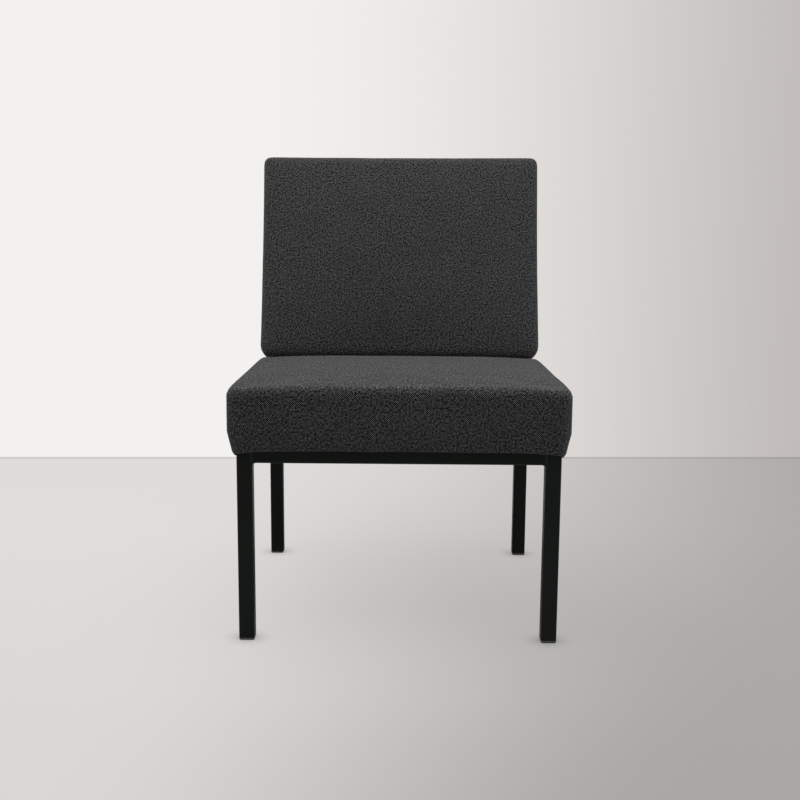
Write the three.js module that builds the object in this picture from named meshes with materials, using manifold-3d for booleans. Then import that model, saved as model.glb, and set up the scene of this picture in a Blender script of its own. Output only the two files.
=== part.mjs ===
// Slipper chair: an armless lounge chair with a welded frame of square steel tube,
// an upholstered seat that rests on the frame and an upholstered back on two leaning uprights.
// Millimetres. The sitter faces -Y, +X is to the right as the chair is seen from the front, +Z is up.
// The chair is built with y = 0 at the front face of the front legs and z = 0 on the floor,
// and the whole is then moved so that its origin is the middle of its footprint.
import * as THREE from "three";
import { mergeVertices } from "three/addons/utils/BufferGeometryUtils.js";
import Module from "manifold-3d";

const wasm = await Module();
wasm.setup();

// Frame
const frameWidth = 510;
const frameDepth = 500;
const railTopHeight = 317;
const tubeSide = 25;
const tubeWall = 1.5;
const tubeCornerRadius = 3;
const leastFillet = 0.4;
const uprightLength = 372;
const backLeanDegrees = 16;

// Plastic inserts in the open tube ends
const glideThickness = 4;
const endPlugThickness = 2.5;
const insertChamfer = 1;
const insertDepth = 20;
const insertClearance = 0.25;
const barbHeight = 1.2;
const barbPitch = 5;

// Seat cushion
const seatOverhang = 15;
const seatRearClearance = 6;
const seatFrontHeight = 108;
const seatRearHeight = 96;
const seatCrown = 6;
const seatEdgeRadius = 20;
const seatDrawIn = 2;
const seatTuckIn = 8;
const seatTuckHeight = 34;
const seatRollDepth = 60;
const seatRollDrop = 16;
const hemClearance = 2.5;
const hemDrop = 4;
const hemCornerDrop = 4.5;
const hemFadeLength = 70;
const seatBoardInset = 12;

// Back cushion
const backSideOverhang = 15;
const backHeight = 399;
const backThickness = 65;
const backCrown = 6;
const backEdgeRadius = 18;
const backLowerCornerRadius = 28;
const backUpperCornerRadius = 15;
const backDrawIn = 1.5;
const backTuckIn = 7;
const backTuckHeight = 16;
const backHemInset = 10;
const backBoardInset = 12;
const backSeatGap = 2;

// Upholstery materials
const boardThickness = 12;
const boardCornerRadius = 14;
const coverThickness = 1.6;
const coverTurnUnder = 42;
const rearPanelInset = 6;
const dustCoverThickness = 0.8;
const dustCoverClearance = 3;

// Screws, washers and tee nuts
const screwRadius = 3;
const screwHoleClearance = 0.5;
const screwHeadRadius = 6;
const screwHeadHeight = 3.4;
const screwTip = 1;
const washerRadius = 6.5;
const washerThickness = 1.2;
const nutFlangeRadius = 9;
const nutFlangeThickness = 1.5;
const nutBarrelLength = 9;
const nutThreadClearance = 0.3;
const nutWall = 0.7;
const seatScrewSetback = 65;
const backScrewLowerSetback = 85;
const backScrewUpperSetback = 45;

// Gaps between neighbours
const restGap = 0.3;
const foamGap = 0.8;
const weldGap = 0.1;
const fitGap = 0.2;
const cutOverrun = 5;
const mergeTolerance = 0.001;

// Facets and shares of the forms
const tubeCornerSteps = 3;
const insertCornerSteps = 1;
const sheetCornerSteps = 1;
const roundSides = 12;
const outlineCornerSteps = 3;
const outlineSideSteps = 6;
const tuckSteps = 3;
const edgeSteps = 3;
const crownShares = [0.14, 0.36, 0.64, 0.88];
const settlingPasses = 8;
const barbCount = 3;
const sharpCornerShare = 0.3;
const headDomeShare = 0.62;
const headRimShare = 0.4;

const quarterTurn = Math.PI / 2;
const backLean = THREE.MathUtils.degToRad(backLeanDegrees);
const mitre = backLean / 2;

// Places that follow from the sizes
const tubeCentreX = (frameWidth - tubeSide) / 2;
const rearTubeY = frameDepth - tubeSide / 2;
const seatWidth = frameWidth + seatOverhang * 2;
const seatCornerRadius = tubeCornerRadius + seatOverhang;
const seatLength = frameDepth - tubeSide - seatRearClearance + seatOverhang;
const seatCentreY = seatLength / 2 - seatOverhang;
const seatBase = railTopHeight + restGap;
const backWidth = frameWidth + backSideOverhang * 2;
const panelDepth = coverThickness + restGap * 2;
const screwHoleRadius = screwRadius + screwHoleClearance;
const nutBoreRadius = screwRadius + nutThreadClearance;
const nutBarrelRadius = nutBoreRadius + nutWall;

// Paint, cloth, foam, plywood, plastic and zinc, each piece with a material of its own
function finish(color, roughness, metalness) {
  return new THREE.MeshStandardMaterial({ color, roughness, metalness });
}
const framePaint = () => finish(0x141516, 0.45, 0.3);
const woolCloth = () => finish(0x3a3b3d, 0.95, 0);
const backingCloth = () => finish(0x1a1a1b, 0.9, 0);
const polyFoam = () => finish(0xd9cfa8, 0.9, 0);
const plywood = () => finish(0xb98f5e, 0.7, 0);
const blackPlastic = () => finish(0x101011, 0.5, 0);
const zincSteel = () => finish(0xb4b7ba, 0.35, 0.9);

// A closed geometry as a solid that can be cut
function solidOf(geometry) {
  const source = geometry.index ? geometry.toNonIndexed() : geometry;
  const bare = new THREE.BufferGeometry();
  bare.setAttribute("position", source.getAttribute("position"));
  const merged = mergeVertices(bare, mergeTolerance);
  return new wasm.Manifold(
    new wasm.Mesh({
      numProp: 3,
      vertProperties: merged.getAttribute("position").array,
      triVerts: new Uint32Array(merged.index.array),
    }),
  );
}

// A cut solid as a geometry again
function geometryOf(solid) {
  const mesh = solid.getMesh();
  const geometry = new THREE.BufferGeometry();
  geometry.setAttribute("position", new THREE.BufferAttribute(mesh.vertProperties, mesh.numProp));
  geometry.setIndex(new THREE.BufferAttribute(mesh.triVerts, 1));
  geometry.computeVertexNormals();
  return geometry;
}

function cut(geometry, cutters) {
  let solid = solidOf(geometry);
  for (const cutter of cutters) {
    solid = solid.subtract(solidOf(cutter));
  }
  return geometryOf(solid);
}

function addPiece(group, name, geometry, material, x = 0, y = 0, z = 0) {
  const mesh = new THREE.Mesh(geometry, material);
  mesh.name = name;
  mesh.position.set(x, y, z);
  group.add(mesh);
  return mesh;
}

// A rectangle with round corners, drawn into a shape or a path
function roundedRectangle(path, width, length, radius) {
  const x = width / 2 - radius;
  const y = length / 2 - radius;
  path.absarc(x, y, radius, 0, quarterTurn);
  path.absarc(-x, y, radius, quarterTurn, quarterTurn * 2);
  path.absarc(-x, -y, radius, quarterTurn * 2, quarterTurn * 3);
  path.absarc(x, -y, radius, quarterTurn * 3, quarterTurn * 4);
  return path;
}

// A flat plate with round corners, its underside at z = bottom
function plate(width, length, radius, bottom, thickness, curveSegments = outlineCornerSteps) {
  const outline = roundedRectangle(new THREE.Shape(), width, length, radius);
  const geometry = new THREE.ExtrudeGeometry(outline, {
    depth: thickness,
    bevelEnabled: false,
    curveSegments,
  });
  return geometry.translate(0, 0, bottom);
}

// Square tube that runs along Z from z = 0
function tube(length) {
  const outline = roundedRectangle(new THREE.Shape(), tubeSide, tubeSide, tubeCornerRadius);
  const boreSide = tubeSide - tubeWall * 2;
  const boreRadius = Math.max(tubeCornerRadius - tubeWall, leastFillet);
  outline.holes.push(roundedRectangle(new THREE.Path(), boreSide, boreSide, boreRadius));
  return new THREE.ExtrudeGeometry(outline, {
    depth: length,
    bevelEnabled: false,
    curveSegments: tubeCornerSteps,
  });
}

// A round bar along Z that cuts a hole
function drill(radius, from, to, x = 0, y = 0) {
  const bar = new THREE.CylinderGeometry(radius, radius, to - from, roundSides);
  bar.rotateX(quarterTurn);
  return bar.translate(x, y, (from + to) / 2);
}

// A block that takes away all that lies beyond a plane through the tube's axis, on one side of it
function mitreCutter(tilt, side, height) {
  const reach = tubeSide + cutOverrun;
  const block = new THREE.BoxGeometry(reach * 2, reach * 2, reach);
  block.translate(0, 0, (side * reach) / 2);
  block.rotateX(tilt);
  return block.translate(0, 0, height);
}

// A turned piece from its half profile, its axis along Z
function turned(points) {
  const profile = points.map(([radius, height]) => new THREE.Vector2(radius, height));
  return new THREE.LatheGeometry(profile, roundSides).rotateX(quarterTurn);
}

// Two triangles for four corners in order, split along the shorter diagonal
function splitQuad(points, [a, b, c, d]) {
  const alongFirst = points[a].distanceTo(points[c]) <= points[b].distanceTo(points[d]);
  return alongFirst ? [a, b, c, a, c, d] : [a, b, d, b, c, d];
}

// Closes rows of points, each a level ring of equal count, into one skin between two poles
function skinBetween(startPole, rings, endPole) {
  const count = rings[0].length;
  const points = [startPole, ...rings.flat(), endPole];
  const last = points.length - 1;
  const faces = [];
  const at = (ring, column) => 1 + ring * count + (column % count);
  for (let column = 0; column < count; column += 1) {
    faces.push(0, at(0, column + 1), at(0, column));
    for (let ring = 0; ring + 1 < rings.length; ring += 1) {
      const corners = [at(ring, column), at(ring, column + 1)];
      corners.push(at(ring + 1, column + 1), at(ring + 1, column));
      faces.push(...splitQuad(points, corners));
    }
    faces.push(at(rings.length - 1, column), at(rings.length - 1, column + 1), last);
  }
  const geometry = new THREE.BufferGeometry().setFromPoints(points);
  geometry.setIndex(faces);
  geometry.computeVertexNormals();
  return geometry;
}

// Plastic insert: a square cap as wide as the tube with a barbed stem that grips the bore.
// The cap stands on z = 0 and the stem points up.
function tubeInsert(capThickness) {
  const capHalf = tubeSide / 2;
  const boreHalf = capHalf - tubeWall - insertClearance;
  const stemHalf = boreHalf - barbHeight;
  const levels = [
    [capHalf - insertChamfer, 0],
    [capHalf, insertChamfer],
    [capHalf, capThickness - weldGap],
    [stemHalf, capThickness - weldGap],
  ];
  const stemTop = capThickness + insertDepth;
  for (let barb = barbCount; barb >= 1; barb -= 1) {
    const foot = stemTop - barb * barbPitch;
    levels.push([stemHalf, foot]);
    levels.push([boreHalf, foot + barbHeight / 2]);
  }
  levels.push([stemHalf - insertChamfer, stemTop]);
  const outlines = levels.map(([half, height]) => squareRing(half, height));
  const start = new THREE.Vector3(0, 0, 0);
  const end = new THREE.Vector3(0, 0, stemTop);
  return skinBetween(start, outlines, end);
}

// A level square with its corners cut like the tube's
function squareRing(half, height) {
  const radius = Math.min(tubeCornerRadius, half / 2);
  const path = roundedRectangle(new THREE.Path(), half * 2, half * 2, radius);
  const points = path.getPoints(insertCornerSteps);
  if (points[0].distanceTo(points[points.length - 1]) < mergeTolerance) {
    points.pop();
  }
  return points.map((point) => new THREE.Vector3(point.x, point.y, height));
}

// Where a cushion's outline lies at a given inset: round corners, and sides that draw in between them
const cornerSigns = [
  [1, 1],
  [-1, 1],
  [-1, -1],
  [1, -1],
];

// A corner's radius shrinks with the inset, ever more slowly once the corner is sharp
function insetRadius(outer, inset) {
  const sharp = outer * sharpCornerShare;
  const beyond = inset - (outer - sharp);
  return beyond <= 0 ? outer - inset : sharp * Math.exp(-beyond / sharp);
}

function cornerPoint(form, corner, angle, inset) {
  const [signX, signY] = cornerSigns[corner % cornerSigns.length];
  const radius = insetRadius(signY > 0 ? form.farRadius : form.nearRadius, inset);
  const x = signX * (form.width / 2 - inset - radius) + radius * Math.cos(angle);
  const y = signY * (form.length / 2 - inset - radius) + radius * Math.sin(angle);
  return new THREE.Vector2(x, y);
}

// The columns of a cushion's skin: each is a place on the outline, from which a section runs up
function outlineColumns() {
  const columns = [];
  cornerSigns.forEach((_, corner) => {
    for (let step = 0; step <= outlineCornerSteps; step += 1) {
      const angle = quarterTurn * (corner + step / outlineCornerSteps);
      columns.push({ corner, angle, along: 0, tightness: 1, slack: 0 });
    }
    for (let step = 1; step < outlineSideSteps; step += 1) {
      const along = step / outlineSideSteps;
      const offMiddle = Math.abs(along * 2 - 1);
      const angle = quarterTurn * (corner + 1);
      columns.push({ corner, angle, along, tightness: offMiddle ** 4, slack: 1 - offMiddle ** 2 });
    }
  });
  return columns;
}

function columnPoint(form, column, inset, pull) {
  const start = cornerPoint(form, column.corner, column.angle, inset);
  if (column.along === 0) {
    return start;
  }
  const end = cornerPoint(form, column.corner + 1, column.angle, inset);
  const drawn = form.drawIn * pull * column.slack;
  const point = start.lerp(end, column.along);
  point.x -= drawn * Math.cos(column.angle);
  point.y -= drawn * Math.sin(column.angle);
  return point;
}

// The section of a cushion's side, from its hem up to where it starts to round over
function tuckSection(form, drop) {
  const stations = [];
  for (let step = 0; step <= tuckSteps; step += 1) {
    const share = step / tuckSteps;
    const angle = quarterTurn * share;
    const inset = form.tuckIn * (1 - Math.sin(angle));
    const z = (form.tuckHeight + drop) * (1 - Math.cos(angle)) - drop;
    stations.push({ inset, z, pull: share });
  }
  return stations;
}

// The rounding from the side to the face
function edgeSection(form) {
  const stations = [];
  for (let step = 0; step <= edgeSteps; step += 1) {
    const angle = (quarterTurn * step) / edgeSteps;
    const inset = form.edgeRadius * (1 - Math.cos(angle));
    const z = form.height - form.crown - form.edgeRadius * (1 - Math.sin(angle));
    stations.push({ inset, z, pull: 1 });
  }
  return stations;
}

// The face, which rises to its crown in the middle
function crownSection(form) {
  const reach = Math.min(form.width, form.length) / 2;
  return crownShares.map((share) => {
    const inset = THREE.MathUtils.lerp(form.edgeRadius, reach, share);
    const z = form.height - form.crown * (1 - share) ** 2;
    return { inset, z, pull: 1 - share };
  });
}

// The section of a cushion's skin: turned under the board, round the hem, up the side,
// round the edge and over the crown
function section(form, drop) {
  const turnedUnder = { inset: form.hemInset + coverTurnUnder, z: 0, pull: 0 };
  const hem = { inset: form.hemInset, z: 0, pull: 0 };
  return [turnedUnder, hem, ...tuckSection(form, drop), ...edgeSection(form), ...crownSection(form)];
}

// The same section moved inwards by a cloth's thickness
function inward(stations, distance) {
  const normals = stations.slice(1).map((station, index) => {
    const before = stations[index];
    const out = before.inset - station.inset;
    const up = station.z - before.z;
    return new THREE.Vector2(up, -out).normalize();
  });
  return stations.map((station, index) => {
    const before = normals[Math.max(index - 1, 0)];
    const after = normals[Math.min(index, normals.length - 1)];
    const normal = before.clone().add(after).normalize();
    const step = distance / normal.dot(before);
    return { inset: station.inset + normal.x * step, z: station.z - normal.y * step, pull: station.pull };
  });
}

// The rings of a cushion's skin at a depth below its outside, from the turned-under edge to the crown
function cushionRings(form, depth) {
  const columns = outlineColumns().map((column) => {
    const foot = columnPoint(form, column, 0, 0);
    const stations = inward(section(form, form.dropAt(column, foot.y)), depth);
    return stations.map(({ inset, z, pull }) => {
      const point = columnPoint(form, column, inset, pull);
      return new THREE.Vector3(point.x, point.y, liftAt(form, point.y, z));
    });
  });
  return columns[0].map((_, ring) => columns.map((column) => column[ring]));
}

// Heights above the underside follow the cushion's thickness at that place
function liftAt(form, y, z) {
  return z > 0 ? (z * form.heightAt(y)) / form.height : z;
}

function crownPole(form, depth) {
  return new THREE.Vector3(0, 0, liftAt(form, 0, form.height) - depth);
}

// Height of a cushion's face above its underside on the middle line, and none beyond its far edge
function faceHeightAt(form, y) {
  const reach = Math.min(form.width, form.length) / 2;
  const inset = Math.min(form.length / 2 - y, reach);
  const stations = [...edgeSection(form), ...crownSection(form), { inset: reach, z: form.height }];
  const next = stations.findIndex((station) => station.inset >= inset);
  if (next < 1) {
    return 0;
  }
  const [from, to] = [stations[next - 1], stations[next]];
  const share = (inset - from.inset) / (to.inset - from.inset);
  return liftAt(form, y, THREE.MathUtils.lerp(from.z, to.z, share));
}

// Sewn cover: one skin of cloth over the foam, open underneath
function coverGeometry(form) {
  const outside = cushionRings(form, 0);
  const inside = cushionRings(form, coverThickness).reverse();
  const ceiling = crownPole(form, coverThickness);
  return skinBetween(ceiling, [...inside, ...outside], crownPole(form, 0));
}

// Foam block: fills the cover, with a pocket underneath for the board
function foamGeometry(form, board) {
  const depth = coverThickness + foamGap;
  const rings = cushionRings(form, depth);
  const floorPole = new THREE.Vector3(0, 0, depth);
  const block = skinBetween(floorPole, rings, crownPole(form, depth));
  const pocketTop = board.bottom + boardThickness + restGap;
  const pocketWidth = board.width + restGap * 2;
  const pocketLength = board.length + restGap * 2;
  const pocket = plate(pocketWidth, pocketLength, board.radius, -cutOverrun, pocketTop + cutOverrun);
  return cut(block, [pocket]);
}

// Plywood board: drilled for the tee nuts' barrels and sunk for their flanges
function boardGeometry(board, spots) {
  const top = board.bottom + boardThickness;
  const blank = plate(board.width, board.length, board.radius, board.bottom, boardThickness);
  const sinkRadius = nutFlangeRadius + fitGap;
  const boreRadius = nutBarrelRadius + fitGap;
  const sinkFloor = top - nutFlangeThickness - fitGap;
  const cutters = spots.flatMap(({ x, y }) => [
    drill(sinkRadius, sinkFloor, top + cutOverrun, x, y),
    drill(boreRadius, board.bottom - cutOverrun, top, x, y),
  ]);
  return cut(blank, cutters);
}

// Tee nut: its flange bears on the board's upper face and its barrel hangs in the hole
function teeNutGeometry() {
  return turned([
    [nutBoreRadius, -nutBarrelLength],
    [nutBarrelRadius, -nutBarrelLength],
    [nutBarrelRadius, 0],
    [nutFlangeRadius, 0],
    [nutFlangeRadius, nutFlangeThickness],
    [nutBoreRadius, nutFlangeThickness],
    [nutBoreRadius, -nutBarrelLength],
  ]);
}

function washerGeometry() {
  return turned([
    [screwHoleRadius, 0],
    [washerRadius, 0],
    [washerRadius, washerThickness],
    [screwHoleRadius, washerThickness],
    [screwHoleRadius, 0],
  ]);
}

// Domed screw: its head hangs below z = 0 and its shank points up
function screwGeometry(length) {
  return turned([
    [0, -screwHeadHeight],
    [screwHeadRadius * headDomeShare, -screwHeadHeight],
    [screwHeadRadius, -screwHeadHeight * headRimShare],
    [screwHeadRadius, 0],
    [screwRadius, 0],
    [screwRadius, length - screwTip],
    [screwRadius - screwTip, length],
    [0, length],
  ]);
}

// One upholstered cushion with its board, tee nuts, screws and washers.
// Its underside is at z = 0, and the tube that carries it lies tubeTop below that.
function addCushion(group, prefix, form, boardInset, spots, tubeTop) {
  const board = {
    width: form.width - boardInset * 2,
    length: form.length - boardInset * 2,
    radius: boardCornerRadius,
    bottom: coverThickness + restGap,
  };
  const boardTop = board.bottom + boardThickness;
  const tubeUnderside = -tubeTop - tubeSide;
  const washerBase = tubeUnderside - weldGap - washerThickness;
  const screwBase = washerBase - weldGap;
  const pierce = spots.map(({ x, y }) => {
    return drill(screwHoleRadius, -cutOverrun, board.bottom, x, y);
  });
  addPiece(group, prefix + "_board", boardGeometry(board, spots), plywood());
  addPiece(group, prefix + "_foam", foamGeometry(form, board), polyFoam());
  addPiece(group, prefix + "_cover", cut(coverGeometry(form), pierce), woolCloth());
  for (const { name, x, y } of spots) {
    const nutSeat = boardTop - nutFlangeThickness;
    addPiece(group, `${prefix}_tee_nut_${name}`, teeNutGeometry(), zincSteel(), x, y, nutSeat);
    addPiece(group, `${prefix}_washer_${name}`, washerGeometry(), zincSteel(), x, y, washerBase);
    const screw = screwGeometry(boardTop - screwBase);
    addPiece(group, `${prefix}_screw_${name}`, screw, zincSteel(), x, y, screwBase);
  }
}

// Legs: full-height tubes at the corners. The rear pair ends in the mitre that starts the lean.
function addLegs(frame) {
  const legLength = railTopHeight - glideThickness;
  for (const [side, x] of [["left", -tubeCentreX], ["right", tubeCentreX]]) {
    const frontY = tubeSide / 2;
    addPiece(frame, `front_${side}_leg`, tube(legLength), framePaint(), x, frontY, glideThickness);
    const blank = tube(legLength + cutOverrun);
    const rearLeg = cut(blank, [mitreCutter(-mitre, 1, legLength)]);
    addPiece(frame, `rear_${side}_leg`, rearLeg, framePaint(), x, rearTubeY, glideThickness);
    addPiece(frame, `front_${side}_glide`, tubeInsert(glideThickness), blackPlastic(), x, frontY);
    addPiece(frame, `rear_${side}_glide`, tubeInsert(glideThickness), blackPlastic(), x, rearTubeY);
  }
}

// Rails: tubes that butt against the legs just below the seat. The side rails are drilled for the seat.
function addRails(frame, seatScrewYs) {
  const railZ = railTopHeight - tubeSide / 2;
  const crossLength = frameWidth - tubeSide * 2 - weldGap * 2;
  const sideLength = frameDepth - tubeSide * 2 - weldGap * 2;
  for (const [name, y] of [["front_rail", tubeSide / 2], ["rear_rail", rearTubeY]]) {
    const rail = tube(crossLength).rotateY(quarterTurn);
    addPiece(frame, name, rail, framePaint(), -crossLength / 2, y, railZ);
  }
  for (const [side, x] of [["left", -tubeCentreX], ["right", tubeCentreX]]) {
    const startY = tubeSide + weldGap;
    const blank = tube(sideLength).rotateX(-quarterTurn);
    const holes = seatScrewYs.map((y) => {
      return drill(screwHoleRadius, -tubeSide, tubeSide, 0, y - startY);
    });
    addPiece(frame, `${side}_side_rail`, cut(blank, holes), framePaint(), x, startY, railZ);
  }
}

// Uprights: tubes that stand on the rear legs' mitres and lean back, drilled for the back cushion
function addUprights(leaning, backScrewHeights) {
  for (const [side, x] of [["left", -tubeCentreX], ["right", tubeCentreX]]) {
    const blank = tube(uprightLength + cutOverrun).translate(0, 0, -cutOverrun);
    const holes = backScrewHeights.map((height) => {
      const bar = drill(screwHoleRadius, -tubeSide, tubeSide);
      return bar.rotateX(quarterTurn).translate(0, 0, height);
    });
    const upright = cut(blank, [mitreCutter(mitre, -1, restGap), ...holes]);
    addPiece(leaning, `${side}_upright`, upright, framePaint(), x);
    const plug = tubeInsert(endPlugThickness).rotateX(quarterTurn * 2);
    const plugTop = uprightLength + endPlugThickness;
    addPiece(leaning, `${side}_upright_plug`, plug, blackPlastic(), x, 0, plugTop);
  }
}

// Seat: a cushion that is thicker at the front, rolls down under the back at the rear
// and whose hem hangs a little below the rail at the front and sides
function seatForm() {
  return {
    width: seatWidth,
    length: seatLength,
    height: seatFrontHeight,
    crown: seatCrown,
    edgeRadius: seatEdgeRadius,
    nearRadius: seatCornerRadius,
    farRadius: seatCornerRadius,
    drawIn: seatDrawIn,
    tuckIn: seatTuckIn,
    tuckHeight: seatTuckHeight,
    hemInset: seatOverhang - hemClearance,
    dropAt: seatHemDrop,
    heightAt: seatHeightAt,
  };
}

function addSeat(chair, form, seatScrewYs) {
  const seat = new THREE.Group();
  seat.position.set(0, seatCentreY, seatBase);
  const spots = [];
  for (const [side, x] of [["left", -tubeCentreX], ["right", tubeCentreX]]) {
    spots.push({ name: `front_${side}`, x, y: seatScrewYs[0] - seatCentreY });
    spots.push({ name: `rear_${side}`, x, y: seatScrewYs[1] - seatCentreY });
  }
  addCushion(seat, "seat", form, seatBoardInset, spots, restGap);
  addDustCover(seat, form);
  chair.add(seat);
}

function seatHeightAt(y) {
  const share = y / seatLength + 1 / 2;
  const roll = Math.max(y - seatLength / 2 + seatRollDepth, 0) / seatRollDepth;
  return THREE.MathUtils.lerp(seatFrontHeight, seatRearHeight, share) - seatRollDrop * roll ** 2;
}

// The hem hangs lowest at the front corners and lies flat at the rear, where it crosses the side rails
function seatHemDrop(column, y) {
  const ahead = (seatLength / 2 - y) / hemFadeLength;
  return (hemDrop + hemCornerDrop * column.tightness) * Math.min(Math.max(ahead - 1, 0), 1);
}

// Dust cover: black backing cloth under the seat, inside the frame, lapped over the turned-under cover
function addDustCover(seat, form) {
  const halfWidth = tubeCentreX - tubeSide / 2 - dustCoverClearance;
  const frontY = tubeSide + dustCoverClearance - seatCentreY;
  const rearY = form.length / 2 - form.hemInset - dustCoverClearance;
  const width = halfWidth * 2;
  const length = rearY - frontY;
  const bottom = -restGap - dustCoverThickness;
  const sheet = plate(width, length, dustCoverClearance, bottom, dustCoverThickness, sheetCornerSteps);
  addPiece(seat, "seat_dust_cover", sheet, backingCloth(), 0, (frontY + rearY) / 2);
}

// Back: a cushion in the leaning group. Its own Y runs up the uprights and its crown faces the sitter.
function backForm() {
  return {
    width: backWidth,
    length: backHeight,
    height: backThickness,
    crown: backCrown,
    edgeRadius: backEdgeRadius,
    nearRadius: backLowerCornerRadius,
    farRadius: backUpperCornerRadius,
    drawIn: backDrawIn,
    tuckIn: backTuckIn,
    tuckHeight: backTuckHeight,
    hemInset: backHemInset,
    dropAt: () => 0,
    heightAt: () => backThickness,
  };
}

function addBack(leaning, form, lowerEdge, backScrewHeights) {
  const back = new THREE.Group();
  back.rotation.x = quarterTurn;
  const centreHeight = lowerEdge + backHeight / 2;
  back.position.set(0, -tubeSide / 2 - panelDepth, centreHeight);
  const spots = [];
  for (const [side, x] of [["left", -tubeCentreX], ["right", tubeCentreX]]) {
    spots.push({ name: `lower_${side}`, x, y: backScrewHeights[0] - centreHeight });
    spots.push({ name: `upper_${side}`, x, y: backScrewHeights[1] - centreHeight });
  }
  addCushion(back, "back", form, backBoardInset, spots, panelDepth);
  addRearPanel(back, spots);
  leaning.add(back);
}

// Rear panel: the outside cloth that closes the back behind, between the cover and the uprights
function addRearPanel(back, spots) {
  const width = backWidth - rearPanelInset * 2;
  const length = backHeight - rearPanelInset * 2;
  const bottom = -restGap - coverThickness;
  const blank = plate(width, length, backUpperCornerRadius, bottom, coverThickness);
  const holes = spots.map(({ x, y }) => drill(screwHoleRadius, bottom - cutOverrun, 0, x, y));
  addPiece(back, "back_rear_panel", cut(blank, holes), woolCloth());
}

// The back's lower edge, measured up the uprights: as low as it goes with a gap to the seat.
// Where it meets the seat depends on its own height, so the height settles in a few passes.
function backLowerEdge(seat, back) {
  const outline = [...tuckSection(back, 0), ...edgeSection(back)];
  let lowerEdge = 0;
  for (let pass = 0; pass < settlingPasses; pass += 1) {
    const limits = outline.map(({ inset, z }) => {
      const depth = tubeSide / 2 + panelDepth + z;
      const height = lowerEdge + inset;
      const y = rearTubeY + height * Math.sin(backLean) - depth * Math.cos(backLean);
      const lowest = seatBase + faceHeightAt(seat, y - seatCentreY) + backSeatGap;
      const rise = lowest - railTopHeight - depth * Math.sin(backLean);
      return rise / Math.cos(backLean) - inset;
    });
    lowerEdge = Math.max(...limits);
  }
  return lowerEdge;
}

function buildChair() {
  const chair = new THREE.Group();
  const frame = new THREE.Group();
  const leaning = new THREE.Group();
  leaning.position.set(0, rearTubeY, railTopHeight);
  leaning.rotation.x = -backLean;
  const frontScrewY = tubeSide + seatScrewSetback;
  const rearScrewY = frameDepth - tubeSide - seatScrewSetback;
  const seatScrewYs = [frontScrewY, rearScrewY];
  const seat = seatForm();
  const back = backForm();
  const lowerEdge = backLowerEdge(seat, back);
  const backScrewHeights = [lowerEdge + backScrewLowerSetback, uprightLength - backScrewUpperSetback];
  addLegs(frame);
  addRails(frame, seatScrewYs);
  addUprights(leaning, backScrewHeights);
  addSeat(chair, seat, seatScrewYs);
  addBack(leaning, back, lowerEdge, backScrewHeights);
  chair.add(frame, leaning);
  return chair;
}

// The finished chair stands with the middle of its footprint box on the origin
const slipperChair = new THREE.Group();
const chair = buildChair();
slipperChair.add(chair);
slipperChair.updateMatrixWorld(true);
const extent = new THREE.Box3().setFromObject(slipperChair, true);
const middle = extent.getCenter(new THREE.Vector3());
chair.position.set(-middle.x, -middle.y, -extent.min.z);

export default slipperChair;
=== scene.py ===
import math
from types import SimpleNamespace

import bmesh
import bpy
import numpy as np
from mathutils import Matrix, Vector, noise
from mathutils.bvhtree import BVHTree


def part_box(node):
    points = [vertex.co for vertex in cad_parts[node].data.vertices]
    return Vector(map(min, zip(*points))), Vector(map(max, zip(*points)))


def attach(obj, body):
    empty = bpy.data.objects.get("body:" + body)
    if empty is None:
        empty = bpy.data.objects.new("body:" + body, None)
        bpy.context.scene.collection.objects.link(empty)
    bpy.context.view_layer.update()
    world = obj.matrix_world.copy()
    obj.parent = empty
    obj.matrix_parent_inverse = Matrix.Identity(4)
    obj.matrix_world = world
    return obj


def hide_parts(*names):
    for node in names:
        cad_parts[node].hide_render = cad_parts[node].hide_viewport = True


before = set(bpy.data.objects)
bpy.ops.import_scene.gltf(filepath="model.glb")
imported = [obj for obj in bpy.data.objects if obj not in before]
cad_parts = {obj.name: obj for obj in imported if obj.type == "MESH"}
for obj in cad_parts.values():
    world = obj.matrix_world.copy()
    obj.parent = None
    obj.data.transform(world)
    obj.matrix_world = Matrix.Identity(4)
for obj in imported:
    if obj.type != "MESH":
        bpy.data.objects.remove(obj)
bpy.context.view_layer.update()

BODY = "root"
MM = 0.001
QUARTER = math.pi / 2

# The photograph's camera
IMAGE_SIDE_PX = 800
FOCAL_LENGTH_PX = 1156.5
OPTICAL_CENTRE_X_PX = 376.8
SENSOR_WIDTH_MM = 36.0
CAMERA_PLACE = Vector((-0.0025, -2.0632, 0.6918))
CAMERA_PITCH = math.radians(9.548)
CAMERA_YAW = math.radians(-1.04)
CAMERA_ROLL = math.radians(-0.236)

# Cloth and foam
THREAD_PITCH = 0.775 * MM
WOOL_LEVEL = 0.033
COVER_THICKNESS = 1.6 * MM
TURN_UNDER = 42 * MM
CLOTH_CELL = 9 * MM
SEAM_DEPTH = 0.7 * MM
SEAM_SHOULDER = 0.4
SEAM_CUTS = 3
UNEVENNESS = 0.4 * MM
BROAD_RATE = 14
SMALL_RATE = 45
SMALL_SHARE = 0.35
HEM_WAVER = 0.5 * MM
HEM_WAVER_RATE = 22
HEM_ROUND_STEPS = 3
HEM_ROUND_SHARE = 0.8
SIDE_TUCK_SHARE = 0.4
FOAM_CLEARANCE = 3.6 * MM
FOAM_CELL = 5 * MM
FOAM_SHRINK = 1.5 * MM

# The covers' swell: stiff cloth under low pressure
SWELL_START = 0.6 * MM
SWELL_LIMIT = 6 * MM
SIMULATED_FRAMES = 20
CLOTH_SETTINGS = {
    "quality": 6,
    "tension_stiffness": 80,
    "compression_stiffness": 80,
    "shear_stiffness": 80,
    "bending_stiffness": 20,
    "use_pressure": True,
    "uniform_pressure_force": 0.35,
}

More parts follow.
